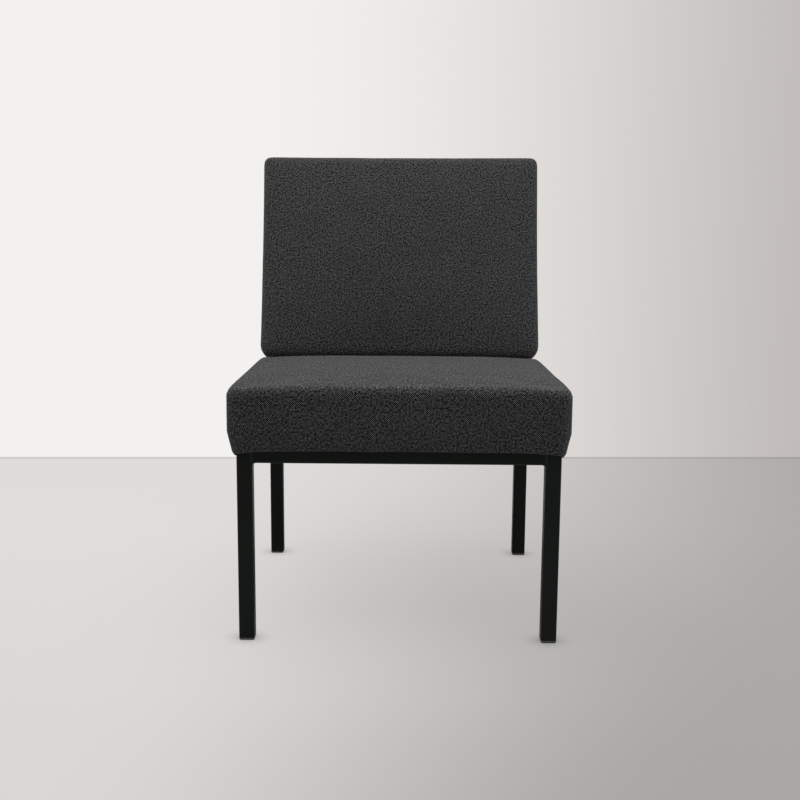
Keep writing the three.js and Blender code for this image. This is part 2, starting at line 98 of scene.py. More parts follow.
# Frame
TUBE_SIDE = 25 * MM
TUBE_CORNER = 3 * MM
TUBE_WALL = 1.5 * MM
REST_GAP = 0.3 * MM
MITRE_BEAD = 1.6 * MM
PLUG_FIT = 0.2 * MM
PLUG_STEM = 20 * MM
PLUG_ROUNDING = ((1.2, 0.0), (0.7, 0.12), (0.3, 0.38), (0.06, 0.75), (0.0, 1.0))
BARB_HEIGHT = 1.2 * MM
BARB_PITCH = 5 * MM
BARB_COUNT = 3
SCREW_RADIUS = 3 * MM
SCREW_HEAD_RADIUS = 6 * MM
SCREW_HEAD_HEIGHT = 3.4 * MM
HOLE_CLEARANCE = 0.3 * MM
HEX_APOTHEM = 2 * MM
PAINT_TINT = (0.72, 1.0, 0.75)

# Rear panel and dust cover
PANEL_FREE_HALF = 212 * MM
PANEL_EDGE = 6 * MM
STITCH_PITCH = 8 * MM
STITCH_REACH = 1.6 * MM
STITCH_RISE = 1.3 * MM
THREAD_RADIUS = 0.3 * MM
DUST_HEM = 14 * MM
STAPLE_PITCH = 48 * MM
STAPLE_CROWN = 12 * MM

# Cushions, beside what the frame gives
SEAT_FRONT_HEIGHT = 104 * MM
SEAT_REAR_HEIGHT = 92 * MM
SEAT_ROLL_DEPTH = 34 * MM
SEAT_ROLL_DROP = 6 * MM
SEAT_HEM_DROP = 4 * MM
SEAT_HEM_CORNER_DROP = 9 * MM
SEAT_HEM_FADE = 70 * MM
BACK_LOWER_REACH = 4 * MM
SHARP_CORNER_SHARE = 0.3
SHARP_ANGLE = math.radians(38)
NODE_SHARP_ANGLE = math.radians(35)


def linear(level):
    """A shade of grey in the picture, from 0 to 255, as the light that makes it."""
    value = level / 255
    return value / 12.92 if value <= 0.04045 else ((value + 0.055) / 1.055) ** 2.4


def set_all(item, **settings):
    """Gives an item's properties their values, and gives back the item."""
    for name, value in settings.items():
        setattr(item, name, value)
    return item


def read(items, field, width, kind=float):
    """One field of all the items, as an array with a row for each item."""
    flat = np.empty(len(items) * width, dtype=kind)
    items.foreach_get(field, flat)
    return flat.reshape(-1, width)


def points_of(mesh):
    return read(mesh.vertices, "co", 3)


def normals_of(mesh):
    return read(mesh.vertex_normals, "vector", 3)


def marks_of(mesh, label):
    return read(mesh.attributes[label].data, "value", 1, np.float32)[:, 0]


def set_points(mesh, points):
    mesh.vertices.foreach_set("co", np.asarray(points, dtype=np.float32).ravel())
    mesh.update()


def middle(node):
    low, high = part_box(node)
    return (low + high) / 2


def local_box(node, place):
    """A node's lowest and highest corners in a frame of its own."""
    inverse = np.array(place.inverted())
    points = points_of(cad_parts[node].data) @ inverse[:3, :3].T + inverse[:3, 3]
    return Vector(points.min(0)), Vector(points.max(0))


def waves(x, y, rate, layer):
    """Smooth noise over a surface, between -1 and 1."""
    return np.array([noise.noise((a * rate, b * rate, layer)) for a, b in zip(x, y)])


# The leaning frame's origin is where the uprights' axes meet the legs. Its Y runs up the uprights
# and its Z points at the sitter.
rail_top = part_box("left_side_rail")[1].z
hinge = Vector((0, middle("rear_left_glide").y, rail_top))
plug_points = np.unique(points_of(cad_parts["left_upright_plug"].data).round(6), axis=0)
plug_offset = Vector(plug_points.mean(0)) - hinge
lean = math.atan2(plug_offset.y, plug_offset.z)
leaning_place = Matrix.Translation(hinge) @ Matrix.Rotation(QUARTER - lean, 4, "X")

seat_low, seat_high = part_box("seat_cover")
back_low, back_high = local_box("back_cover", leaning_place)
back_low.y -= BACK_LOWER_REACH
seat_place = Matrix.Translation((0, (seat_low.y + seat_high.y) / 2, rail_top + REST_GAP))
back_place = leaning_place @ Matrix.Translation((0, (back_low.y + back_high.y) / 2, back_low.z))


def flat_form(low, high, **more):
    """A form's outer size between two corners, and what else is told of it."""
    return SimpleNamespace(width=high.x - low.x, length=high.y - low.y, **more)


def cushion_form(low, high, height, **millimetres):
    sizes = {name: value * MM for name, value in millimetres.items()}
    return flat_form(low, high, height=height, **sizes)


SEAT = cushion_form(
    seat_low, seat_high, SEAT_FRONT_HEIGHT, crown=6, edge_radius=11, near_radius=18, far_radius=18,
    draw_in=2, corner_ease=5.5, tuck_in=9.5, tuck_height=26, hem_round=6, hem_inset=14.4,
)
BACK = cushion_form(
    back_low, back_high, back_high.z - back_low.z, crown=6, edge_radius=15, near_radius=28,
    far_radius=15, draw_in=1.5, corner_ease=2, tuck_in=2, tuck_height=22, hem_round=8, hem_inset=10,
)


def cornerness(form, x, y):
    """1 at the four corners, and falling towards the middle of each side."""
    return np.clip(np.minimum(np.abs(x) / (form.width / 2), np.abs(y) / (form.length / 2)), 0, 1) ** 8


def seat_height_at(y):
    share = y / SEAT.length + 0.5
    roll = np.maximum(y - SEAT.length / 2 + SEAT_ROLL_DEPTH, 0) / SEAT_ROLL_DEPTH
    return SEAT_FRONT_HEIGHT + (SEAT_REAR_HEIGHT - SEAT_FRONT_HEIGHT) * share - SEAT_ROLL_DROP * roll**2


def seat_drop_at(x, y):
    """How far the hem hangs below the rail's top: most at the front corners, not at all at the rear."""
    ahead = np.clip((SEAT.length / 2 - y) / SEAT_HEM_FADE - 1, 0, 1)
    waver = HEM_WAVER * waves(x, y, HEM_WAVER_RATE, 0.5)
    return (SEAT_HEM_DROP + SEAT_HEM_CORNER_DROP * cornerness(SEAT, x, y) + waver) * ahead


SEAT.height_at = seat_height_at
SEAT.drop_at = seat_drop_at
BACK.height_at = lambda y: np.full_like(y, BACK.height)
BACK.drop_at = lambda x, y: np.zeros_like(x)


# A mix node's sockets for the factor and the two values, and for the result
MIX_SOCKETS = {"FLOAT": (0, 2, 3, 0), "RGBA": (0, 6, 7, 2)}


class Shader:
    """The nodes of a material, or of a world, put together from sockets and numbers."""

    def __init__(self, owner):
        owner.use_nodes = True
        self.owner = owner
        self.tree = owner.node_tree
        self.bsdf = self.tree.nodes.get("Principled BSDF")

    def node(self, kind, **settings):
        return set_all(self.tree.nodes.new(kind), **settings)

    def feed(self, socket, value):
        if isinstance(value, bpy.types.NodeSocket):
            self.tree.links.new(value, socket)
        else:
            socket.default_value = value

    def made(self, kind, values, **settings):
        """A new node's first output, with its first inputs fed."""
        made = self.node(kind, **settings)
        for socket, value in zip(made.inputs, values):
            self.feed(socket, value)
        return made.outputs[0]

    def feed_named(self, made, **values):
        for name, value in values.items():
            self.feed(made.inputs[name], value)

    def math(self, operation, *values):
        return self.made("ShaderNodeMath", values, operation=operation)

    def add(self, a, b):
        return self.math("ADD", a, b)

    def minus(self, a, b):
        return self.math("SUBTRACT", a, b)

    def times(self, first, *others):
        for other in others:
            first = self.math("MULTIPLY", first, other)
        return first

    def blend(self, factor, a, b, kind="FLOAT"):
        """Goes from a to b as the factor goes from 0 to 1."""
        made = self.node("ShaderNodeMix", data_type=kind)
        *inputs, output = MIX_SOCKETS[kind]
        for number, value in zip(inputs, (factor, a, b)):
            self.feed(made.inputs[number], value)
        return made.outputs[output]

    def stretch(self, value, low, high, to_low=0.0, to_high=1.0, kind="LINEAR"):
        """Takes the values from low to high to those from to_low to to_high, and no further."""
        values = (value, low, high, to_low, to_high)
        return self.made("ShaderNodeMapRange", values, interpolation_type=kind)

    def spread(self, value, to_low, to_high):
        """Stretches the range that a noise mostly stays in."""
        return self.stretch(value, 0.3, 0.7, to_low, to_high)

    def vector(self, x=0.0, y=0.0, z=0.0):
        return self.made("ShaderNodeCombineXYZ", (x, y, z))

    def split(self, vector):
        made = self.node("ShaderNodeSeparateXYZ")
        self.feed(made.inputs[0], vector)
        return made.outputs[:3]

    def object_place(self):
        return self.node("ShaderNodeTexCoord").outputs["Object"]

    def attribute(self, name):
        return self.node("ShaderNodeAttribute", attribute_name=name).outputs["Fac"]

    def noise(self, vector, scale, detail=2.0, roughness=0.5):
        made = self.node("ShaderNodeTexNoise")
        self.feed_named(made, Vector=vector, Scale=scale, Detail=detail, Roughness=roughness)
        return made.outputs[0]

    def grey(self, value, tint=(1.0, 1.0, 1.0)):
        """A colour from one value, each channel times its share of the tint."""
        channels = [value if share == 1.0 else self.times(value, share) for share in tint]
        return self.made("ShaderNodeCombineColor", channels)

    def bump(self, height, distance, strength):
        made = self.node("ShaderNodeBump")
        self.feed_named(made, Distance=distance, Strength=strength, Height=height)
        self.feed(self.bsdf.inputs["Normal"], made.outputs["Normal"])

    def finish(self, color, roughness, **fixed):
        self.feed(self.bsdf.inputs["Base Color"], color)
        self.feed(self.bsdf.inputs["Roughness"], roughness)
        for name, value in fixed.items():
            self.bsdf.inputs[name.replace("_", " ")].default_value = value
        return self.owner

    def seen_as(self, lighting, seen, output):
        """The camera sees one shader, and the light on the chair comes from the other."""
        to_camera = self.node("ShaderNodeLightPath").outputs["Is Camera Ray"]
        choice = self.made("ShaderNodeMixShader", (to_camera, lighting, seen))
        self.feed(self.tree.nodes[output].inputs["Surface"], choice)


def new_material(name):
    return Shader(bpy.data.materials.new(name))


def hump(s, share):
    """0 at both ends of the share's run from 0 to 1, and 1 in its middle."""
    return s.times(share, s.minus(1.0, share), 4.0)


def thread_height(s, across, along):
    """A round thread that dives under its neighbours at both ends of its run."""
    return s.math("SQRT", s.times(hump(s, across), s.add(0.35, s.times(hump(s, along), 0.65))))


def twill(s, u, v):
    """Two-and-two twill of warp columns and weft rows: its height, its yarns' tone, and a number of
    its own for each crossing."""
    column = s.math("FLOOR", u)
    row = s.math("FLOOR", v)
    in_column = s.math("FRACT", u)
    in_row = s.math("FRACT", v)
    step = s.math("FLOORED_MODULO", s.minus(column, row), 4.0)
    warp_up = s.math("LESS_THAN", step, 1.5)
    warp_run = s.times(s.add(s.minus(1.0, step), in_row), 0.5)
    weft_run = s.times(s.add(s.minus(step, 2.0), in_column), 0.5)
    warp_height = thread_height(s, in_column, warp_run)
    weft_height = thread_height(s, in_row, weft_run)
    warp_tone = s.noise(s.vector(s.times(column, 3.7), s.times(v, 0.3)), 1.0, 3.0, 0.65)
    weft_tone = s.noise(s.vector(s.times(u, 0.3), s.times(row, 3.7), 9.0), 1.0, 3.0, 0.65)
    height = s.blend(warp_up, weft_height, warp_height)
    yarn = s.blend(warp_up, weft_tone, warp_tone)
    fleck = s.node("ShaderNodeTexWhiteNoise")
    s.feed(fleck.inputs["Vector"], s.vector(column, row))
    return height, yarn, fleck.outputs["Value"]


def wool_material():
    """Melange twill: slubs in the yarns, small clusters, raised ribs with painted highlights on their
    crests and painted shade in the hollows between ribs and between threads, streaks of pile on level
    cloth, which is also painted lighter there as light from above, a painted highlight along the hem, and
    single pale fibres."""
    s = new_material("wool_twill")
    across, along, _ = s.split(s.node("ShaderNodeUVMap", uv_map="weave").outputs["UV"])
    u = s.math("DIVIDE", across, THREAD_PITCH)
    v = s.math("DIVIDE", along, THREAD_PITCH)
    height, yarn, fleck = twill(s, u, v)
    cluster = s.noise(s.vector(u, v, 4.0), 0.26, 0.0)
    broad = s.noise(s.vector(u, v, 8.0), 0.012)
    phase = s.times(s.minus(s.minus(u, v), 0.5), math.tau / 4)
    rib = s.stretch(s.math("COSINE", phase), -1.0, 1.0)
    _, _, upward = s.split(s.node("ShaderNodeNewGeometry").outputs["Normal"])
    # How far the cloth faces up: where the light from above is painted.
    level = s.stretch(upward, 0.7, 0.97)
    nap_and_top_light = s.noise(s.vector(s.times(u, 0.32), s.times(v, 0.055), 2.0), 1.0, 0.0)
    tone = s.times(
        s.stretch(yarn, 0.25, 0.75, 0.65, 1.35),
        s.stretch(cluster, 0.28, 0.72, 0.1, 1.9),
        # Painted light: up-facing cloth is painted lighter on average, as light from above, with streaks
        # in its pile.
        s.add(1.0, s.times(level, s.spread(nap_and_top_light, -0.72, 1.0))),
        s.stretch(fleck, 0.0, 1.0, 0.9, 1.1),
        s.spread(broad, 0.93, 1.07),
        # Painted highlight and shade: rib crests are painted lighter and the hollows between ribs darker.
        s.add(s.times(s.math("POWER", rib, 4.0), 3.5), 0.05),
        # Painted shade: each thread is painted darker where it dives under its neighbours.
        s.stretch(height, 0.0, 1.0, 0.7, 1.1),
    )
    pale = s.math("GREATER_THAN", fleck, 0.98)
    # Painted highlight: a light line along the hem.
    hem_highlight = s.add(1.0, s.times(s.attribute("hem"), 0.5))
    seam_shade = s.minus(1.0, s.times(s.attribute("seam"), 0.5))
    tone = s.times(s.add(tone, s.times(pale, 0.8)), hem_highlight, seam_shade, WOOL_LEVEL)
    s.bump(s.add(s.times(height, 0.4), s.times(rib, 1.6)), 0.2 * MM, 0.9)
    return s.finish(s.grey(tone), 0.92, Specular_IOR_Level=0.12, Sheen_Weight=0.1, Sheen_Roughness=0.45)


def backing_material():
    """Black spun backing cloth: fine crossed fibres, pressed flat in small dots."""
    s = new_material("backing_cloth")
    place = s.object_place()
    fibres = s.noise(place, 900.0, 4.0, 0.7)
    x, y, _ = s.split(place)
    dot_x, dot_y = (s.math("SINE", s.times(value, math.tau / (1.4 * MM))) for value in (x, y))
    dots = s.stretch(s.times(dot_x, dot_y), 0.2, 0.7)
    tone = s.times(s.spread(fibres, 0.6, 1.5), s.stretch(dots, 0.0, 1.0, 1.0, 0.6), 0.012)
    s.bump(s.minus(fibres, s.times(dots, 0.5)), 0.15 * MM, 0.7)
    return s.finish(s.grey(tone), 0.85, Specular_IOR_Level=0.2, Sheen_Weight=0.1)


def foam_material():
    """Pale yellow foam: fine open cells with painted shade in their pits, and slight patches of age."""
    s = new_material("foam")
    place = s.object_place()
    cells = s.node("ShaderNodeTexVoronoi")
    s.feed(cells.inputs["Vector"], place)
    cells.inputs["Scale"].default_value = 900.0
    depth = cells.outputs["Distance"]
    age = s.noise(place, 14.0, 3.0)
    # Painted shade: the cells' pits are painted darker.
    tone = s.times(s.stretch(depth, 0.0, 0.6, 0.7, 1.05), s.spread(age, 0.9, 1.05), 0.68)
    s.bump(depth, 0.4 * MM, 0.8)
    return s.finish(s.grey(tone, (1.0, 0.9, 0.58)), 0.95, Specular_IOR_Level=0.1)


def plywood_material():
    """Birch plywood: long grain on the faces and thin veneers at the edges."""
    s = new_material("plywood")
    x, y, z = s.split(s.object_place())
    grain = s.noise(s.vector(s.times(x, 3.0), s.times(y, 60.0), s.times(z, 60.0)), 4.0, 5.0, 0.6)
    veneer = s.math("GREATER_THAN", s.math("FRACT", s.math("DIVIDE", z, 2.4 * MM)), 0.5)
    tone = s.times(s.spread(grain, 0.75, 1.1), s.blend(veneer, 0.85, 1.0), 0.48)
    s.bump(grain, 0.2 * MM, 0.4)
    return s.finish(s.grey(tone, (1.0, 0.62, 0.3)), 0.62, Specular_IOR_Level=0.35)


def paint_material(tube_end):
    """Satin black paint on steel: slight orange peel, faint marks, and at the tubes' cut ends a light band
    that is partly paint worn thin and partly a painted highlight.
    """
    s = new_material("frame_paint")
    place = s.object_place()
    peel = s.noise(place, 700.0)
    haze = s.noise(place, 9.0, 4.0, 0.6)
    scuffs = s.noise(place, 160.0, 6.0, 0.75)
    _, _, z = s.split(place)
    low = s.stretch(z, 0.07, tube_end, kind="SMOOTHSTEP")
    rim = s.stretch(z, tube_end + 1.6 * MM, tube_end + 0.3 * MM)
    worn = s.stretch(s.add(scuffs, s.times(low, 0.05)), 0.64, 0.72)
    # Worn paint and painted highlight: a light band just above each tube's cut end.
    rim_wear_and_glint = s.times(rim, s.stretch(scuffs, 0.35, 0.6, 0.2, 1.0))
    tone = s.add(s.times(s.spread(haze, 0.85, 1.2), 0.0078), s.times(worn, 0.012))
    tone = s.add(tone, s.times(rim_wear_and_glint, 0.035))
    roughness = s.add(s.spread(haze, 0.36, 0.46), s.times(worn, 0.12))
    s.bump(s.add(peel, s.times(scuffs, 0.3)), 0.03 * MM, 0.5)
    return s.finish(s.grey(tone, PAINT_TINT), roughness, Specular_IOR_Level=0.1)


def weld_material():
    """Ground welds under the same paint, with small bright spots where the paint has chipped."""
    s = new_material("painted_weld")
    spots = s.noise(s.object_place(), 420.0, 3.0, 0.7)
    chip = s.stretch(spots, 0.66, 0.7)
    tone = s.add(0.008, s.times(chip, 0.11))
    s.bump(spots, 0.12 * MM, 0.8)
    return s.finish(s.grey(tone, PAINT_TINT), s.blend(chip, 0.42, 0.3), Specular_IOR_Level=0.2)


def plastic_material():
    """Moulded black plastic, slightly glossy, with a painted highlight along the glides' upper rims,
    uneven with scuffs.
    """
    s = new_material("black_plastic")
    place = s.object_place()
    grain = s.noise(place, 1400.0)
    scuffs = s.noise(place, 260.0, 5.0, 0.7)
    _, _, z = s.split(place)
    # Painted highlight: a light band along each glide's upper rim, uneven with the scuff noise.
    rim = s.times(s.stretch(z, 2.7 * MM, 3.1 * MM), s.stretch(z, 3.6 * MM, 4.0 * MM, 1.0, 0.0))
    tone = s.add(0.014, s.times(rim, s.spread(scuffs, 0.2, 1.0), 0.15))
    s.bump(grain, 0.04 * MM, 0.4)
    roughness = s.spread(scuffs, 0.3, 0.45)
    return s.finish(s.grey(tone, (1.0, 0.98, 0.96)), roughness, Specular_IOR_Level=0.5)


def zinc_material():
    """Bright zinc plate with a slight mottling."""
    s = new_material("zinc_steel")
    place = s.object_place()
    mottle = s.noise(place, 350.0, 4.0, 0.6)
    s.bump(s.noise(place, 2200.0), 0.02 * MM, 0.4)
    tone = s.spread(mottle, 0.38, 0.52)
    return s.finish(s.grey(tone, (0.96, 0.98, 1.0)), s.spread(mottle, 0.26, 0.4), Metallic=1.0)


def thread_material():
    """Black sewing thread with its twist."""
    s = new_material("sewing_thread")
    twist = s.noise(s.object_place(), 2600.0)
    s.bump(twist, 0.08 * MM, 0.6)
    return s.finish(s.grey(s.spread(twist, 0.006, 0.02)), 0.8, Sheen_Weight=0.2)


glide_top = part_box("front_left_leg")[0].z
materials = {
    "upholstery": wool_material(),
    "backing_cloth": backing_material(),
    "foam": foam_material(),
    "plywood": plywood_material(),
    "frame_paint": paint_material(glide_top),
    "black_plastic": plastic_material(),
    "zinc_steel": zinc_material(),
}
painted_weld = weld_material()
sewing_thread = thread_material()


def add_object(name, data):
    made = bpy.data.objects.new(name, data)
    bpy.context.scene.collection.objects.link(made)
    return made


def add_mesh(name, mesh, slot, material=None):
    """A piece of the chair that rides on its one body."""
    piece = add_object(name, mesh)
    mesh.materials.clear()
    mesh.materials.append(material or materials[slot])
    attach(piece, BODY)
    return piece


def place_mesh(piece, place):
    piece.data.transform(place)
    piece.data.update()


def smooth_mesh(name, points, faces):
    mesh = bpy.data.meshes.new(name)
    mesh.from_pydata(points, [], faces)
    mesh.shade_smooth()
    return mesh


def lay_twill(mesh, places):
    """The map that lays the twill over the faces' corners, in metres."""
    layer = mesh.uv_layers.new(name="weave")
    layer.uv.foreach_set("vector", np.array(places, dtype=np.float32).ravel())


def lofted(rings, round_trip=False):
    """Points and faces of a skin over rings of equal length: capped at both ends, or closed on itself."""
    count = len(rings[0])
    points = [point for ring in rings for point in ring]
    faces = []
    for level in range(len(rings) if round_trip else len(rings) - 1):
        above = (level + 1) % len(rings) * count
        for i in range(count):
            after = (i + 1) % count
            faces.append((level * count + i, level * count + after, above + after, above + i))
    if not round_trip:
        faces.append(tuple(reversed(range(count))))
        faces.append(tuple(range(len(points) - count, len(points))))
    return points, faces


def rounded_ring(half_x, half_y, near_radius, far_radius, z=0.0, steps=6, inset=0.0):
    """A rectangle with round corners, counter-clockwise seen from +Z. Its near corners are at -Y."""
    ring = []
    for quarter, (sign_x, sign_y) in enumerate(((1, 1), (-1, 1), (-1, -1), (1, -1))):
        radius = near_radius if sign_y < 0 else far_radius
        for step in range(steps + 1):
            angle = QUARTER * (quarter + step / steps)
            x = sign_x * (half_x - radius) + (radius - inset) * math.cos(angle)
            y = sign_y * (half_y - radius) + (radius - inset) * math.sin(angle)
            ring.append((x, y, z))
    return ring


def circle(radius, z, sides=48):
    """A ring of points. The radius may be a function of the angle."""
    ring = []
    for i in range(sides):
        angle = math.tau * i / sides
        reach = radius(angle) if callable(radius) else radius
        ring.append((reach * math.cos(angle), reach * math.sin(angle), z))
    return ring


def add_lofted(name, slot, parts, material=None):
    """One piece from several lofted parts, each with its place."""
    points, faces = [], []
    for place, (part_points, part_faces) in parts:
        faces += [tuple(i + len(points) for i in face) for face in part_faces]
        points += [tuple(place @ Vector(point)) for point in part_points]
    mesh = smooth_mesh(name, points, faces)
    mesh.validate()
    mesh.set_sharp_from_angle(angle=SHARP_ANGLE)
    return add_mesh(name, mesh, slot, material)


def apply_modifiers(piece):
    """The piece's modifiers become part of its mesh."""
    graph = bpy.context.evaluated_depsgraph_get()
    mesh = bpy.data.meshes.new_from_object(piece, preserve_all_data_layers=True, depsgraph=graph)
    piece.modifiers.clear()
    old = piece.data
    piece.data = mesh
    bpy.data.meshes.remove(old)


def smooth_shading_group():
    """Joins doubled points and shades smoothly over edges that turn less than a tube's corner facets."""
    group = bpy.data.node_groups.new("smooth_by_angle", "GeometryNodeTree")
    for way in ("INPUT", "OUTPUT"):
        group.interface.new_socket("Geometry", in_out=way, socket_type="NodeSocketGeometry")
    source, merge, angle, small, faces, edges, result = (group.nodes.new(kind) for kind in (
        "NodeGroupInput",
        "GeometryNodeMergeByDistance",
        "GeometryNodeInputMeshEdgeAngle",
        "FunctionNodeCompare",
        "GeometryNodeSetShadeSmooth",
        "GeometryNodeSetShadeSmooth",
        "NodeGroupOutput",
    ))
    merge.inputs["Distance"].default_value = 0.01 * MM
    small.operation = "LESS_THAN"
    small.inputs[1].default_value = NODE_SHARP_ANGLE
    faces.domain = "FACE"
    edges.domain = "EDGE"
    for start, end in (
        (source.outputs[0], merge.inputs["Geometry"]),
        (merge.outputs[0], faces.inputs["Geometry"]),
        (faces.outputs[0], edges.inputs["Geometry"]),
        (angle.outputs["Unsigned Angle"], small.inputs[0]),
        (small.outputs[0], edges.inputs["Shade Smooth"]),
        (edges.outputs[0], result.inputs[0]),
    ):
        group.links.new(start, end)
    return group


NODE_SLOTS = (
    ("dust", "backing_cloth"),
    ("cover", "upholstery"),
    ("panel", "upholstery"),
    ("foam", "foam"),
    ("board", "plywood"),
    ("glide", "black_plastic"),
    ("plug", "black_plastic"),
    ("screw", "zinc_steel"),
    ("washer", "zinc_steel"),
    ("nut", "zinc_steel"),
)


def dress_nodes():
    """The carried-over nodes keep their shape. Modifiers only smooth their shading."""
    smoothing = smooth_shading_group()
    for name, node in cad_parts.items():
        slot = next((slot for word, slot in NODE_SLOTS if word in name), "frame_paint")
        node.data.materials.clear()
        node.data.materials.append(materials[slot])
        node.modifiers.new("smooth", "NODES").node_group = smoothing
        node.modifiers.new("flat_faces", "WEIGHTED_NORMAL").keep_sharp = True


dress_nodes()


def inset_radius(outer, inset):
    """A corner's radius shrinks with the inset, ever more slowly once the corner is sharp."""
    sharp = outer * SHARP_CORNER_SHARE
    beyond = inset - (outer - sharp)
    return np.where(beyond <= 0, outer - inset, sharp * np.exp(-np.maximum(beyond, 0) / sharp))


def on_ring(form, x, y, near, inset):
    """Points on the plain rectangle's ring at the inset near go to the cushion's ring at inset,
    which has round corners."""
    outer = np.where(y < 0, form.near_radius, form.far_radius)
    flat_radius = inset_radius(outer, near)
    radius = inset_radius(outer, inset)
    ways = []
    for value, half in ((x, form.width / 2), (y, form.length / 2)):
        flat_centre = half - near - flat_radius
        centre = half - inset - radius
        beyond = (np.abs(value) - flat_centre) / flat_radius
        ways.append((value, centre, beyond, np.abs(value) * centre / flat_centre))
    beyonds = [way[2] for way in ways]
    in_corner = (beyonds[0] > 0) & (beyonds[1] > 0)
    turn = np.where(in_corner, np.maximum(*beyonds) / np.maximum(np.hypot(*beyonds), 1e-9), 1)
    return [
        np.sign(value) * np.where(beyond > 0, centre + radius * beyond * turn, inner)
        for value, centre, beyond, inner in ways
    ]


def drawn_in(form, x, y, pull):
    """The sides pull in between the corners."""
    share_x = x / (form.width / 2)
    share_y = y / (form.length / 2)
    amount = form.draw_in * pull
    moved_x = x - np.sign(x) * amount * (1 - share_y**2) * share_x**4
    moved_y = y - np.sign(y) * amount * (1 - share_x**2) * share_y**4
    return moved_x, moved_y


def raised(form, x, y, z, pull):
    """Points of the skin: drawn in, and as high as the cushion's thickness at that place."""
    height = form.height_at(y) - form.corner_ease * cornerness(form, x, y)
    lifted = np.where(z > 0, z * height / form.height, z)
    return np.stack([*drawn_in(form, x, y, pull), lifted], -1)


def face_points(form, x, y):
    """The cushion's face over a plain rectangular grid, with its rounding down to 45 degrees."""
    radius = form.edge_radius
    near = np.minimum(form.width / 2 - np.abs(x), form.length / 2 - np.abs(y))
    beyond = np.maximum(radius - near, 0)
    turn = radius / np.hypot(beyond, radius)
    inset = np.where(near < radius, radius - beyond * turn, near)
    base = form.height - form.crown - radius
    px, py = on_ring(form, x, y, near, inset)
    bulge = (1 - (px / form.width * 2) ** 4) * (1 - (py / form.length * 2) ** 4)
    return raised(form, px, py, base + radius * turn + form.crown * bulge, 1.0)


def side_rings(form, x, y):
    """Rings from the face's edge down the side, under the tuck and round the hem, and the number of
    the ring at the hem."""
    radius = form.edge_radius
    base = form.height - form.crown - radius
    level = np.zeros_like(x)
    rings = []
    edge_steps = round(radius / CLOTH_CELL)
    for step in range(1, edge_steps + 1):
        rise = radius * (1 - step / edge_steps)
        turn = radius / math.hypot(radius, rise)
        rings.append((level + radius * (1 - turn), level + base + rise * turn, 1.0))
    wall_steps = max(round((base - form.tuck_height) / CLOTH_CELL), 1)
    for step in range(1, wall_steps + 1):
        rings.append((level, level + base + (form.tuck_height - base) * step / wall_steps, 1.0))
    waist_height = form.hem_round - form.drop_at(x, y)
    tuck = form.tuck_in * (SIDE_TUCK_SHARE + (1 - SIDE_TUCK_SHARE) * cornerness(form, x, y))
    tuck_steps = max(round((form.tuck_height - form.hem_round) / CLOTH_CELL), 2)
    for step in range(1, tuck_steps + 1):
        share = step / tuck_steps
        z = form.tuck_height + (waist_height - form.tuck_height) * share
        rings.append((level + tuck * share**2 * (3 - 2 * share), z, 1 - share))
    for step in range(1, HEM_ROUND_STEPS + 1):
        angle = QUARTER * step / HEM_ROUND_STEPS
        inset = level + tuck + form.hem_round * (1 - math.cos(angle)) * HEM_ROUND_SHARE
        rings.append((inset, waist_height - form.hem_round * math.sin(angle), 0.0))
    hem_ring = len(rings)
    rings.append((level + form.hem_inset, level, 0.0))
    made = []
    for inset, z, pull in rings:
        px, py = on_ring(form, x, y, level, inset)
        made.append(raised(form, px, py, z, pull))
    return made, hem_ring


def cloth_distance(form, value, half):
    """Distance along the cloth from the cushion's middle line, over the rounding of the edge."""
    radius = form.edge_radius
    beyond = np.maximum(np.abs(value) - (half - radius), 0)
    rounded = half - radius + radius * np.arctan(beyond / radius)
    return np.sign(value) * np.where(beyond > 0, rounded, np.abs(value))


def grid_cells(index, map_x, map_y, order):
    """The cells of a grid of points, and the places of their corners on the cloth."""
    faces, places = [], []
    for i in range(len(map_x) - 1):
        for j in range(len(map_y) - 1):
            corners = [(i + a, j + b) for a, b in order]
            faces.append([index[c] for c in corners])
            places += [(map_x[a], map_y[b]) for a, b in corners]
    return faces, places


def side_cells(ring_index, descent, u, v, ways):
    """The cells between the rings. Their map runs on from the face's rim, each side its own way."""
    faces, places = [], []
    for ring in range(len(ring_index) - 1):
        for column, (way_x, way_y) in enumerate(ways):
            after = (column + 1) % len(ways)
            corners = ((ring, column), (ring + 1, column), (ring + 1, after), (ring, after))
            faces.append([ring_index[a][b] for a, b in corners])
            places += [(u[b] + way_x * descent[a], v[b] + way_y * descent[a]) for a, b in corners]
    return faces, places


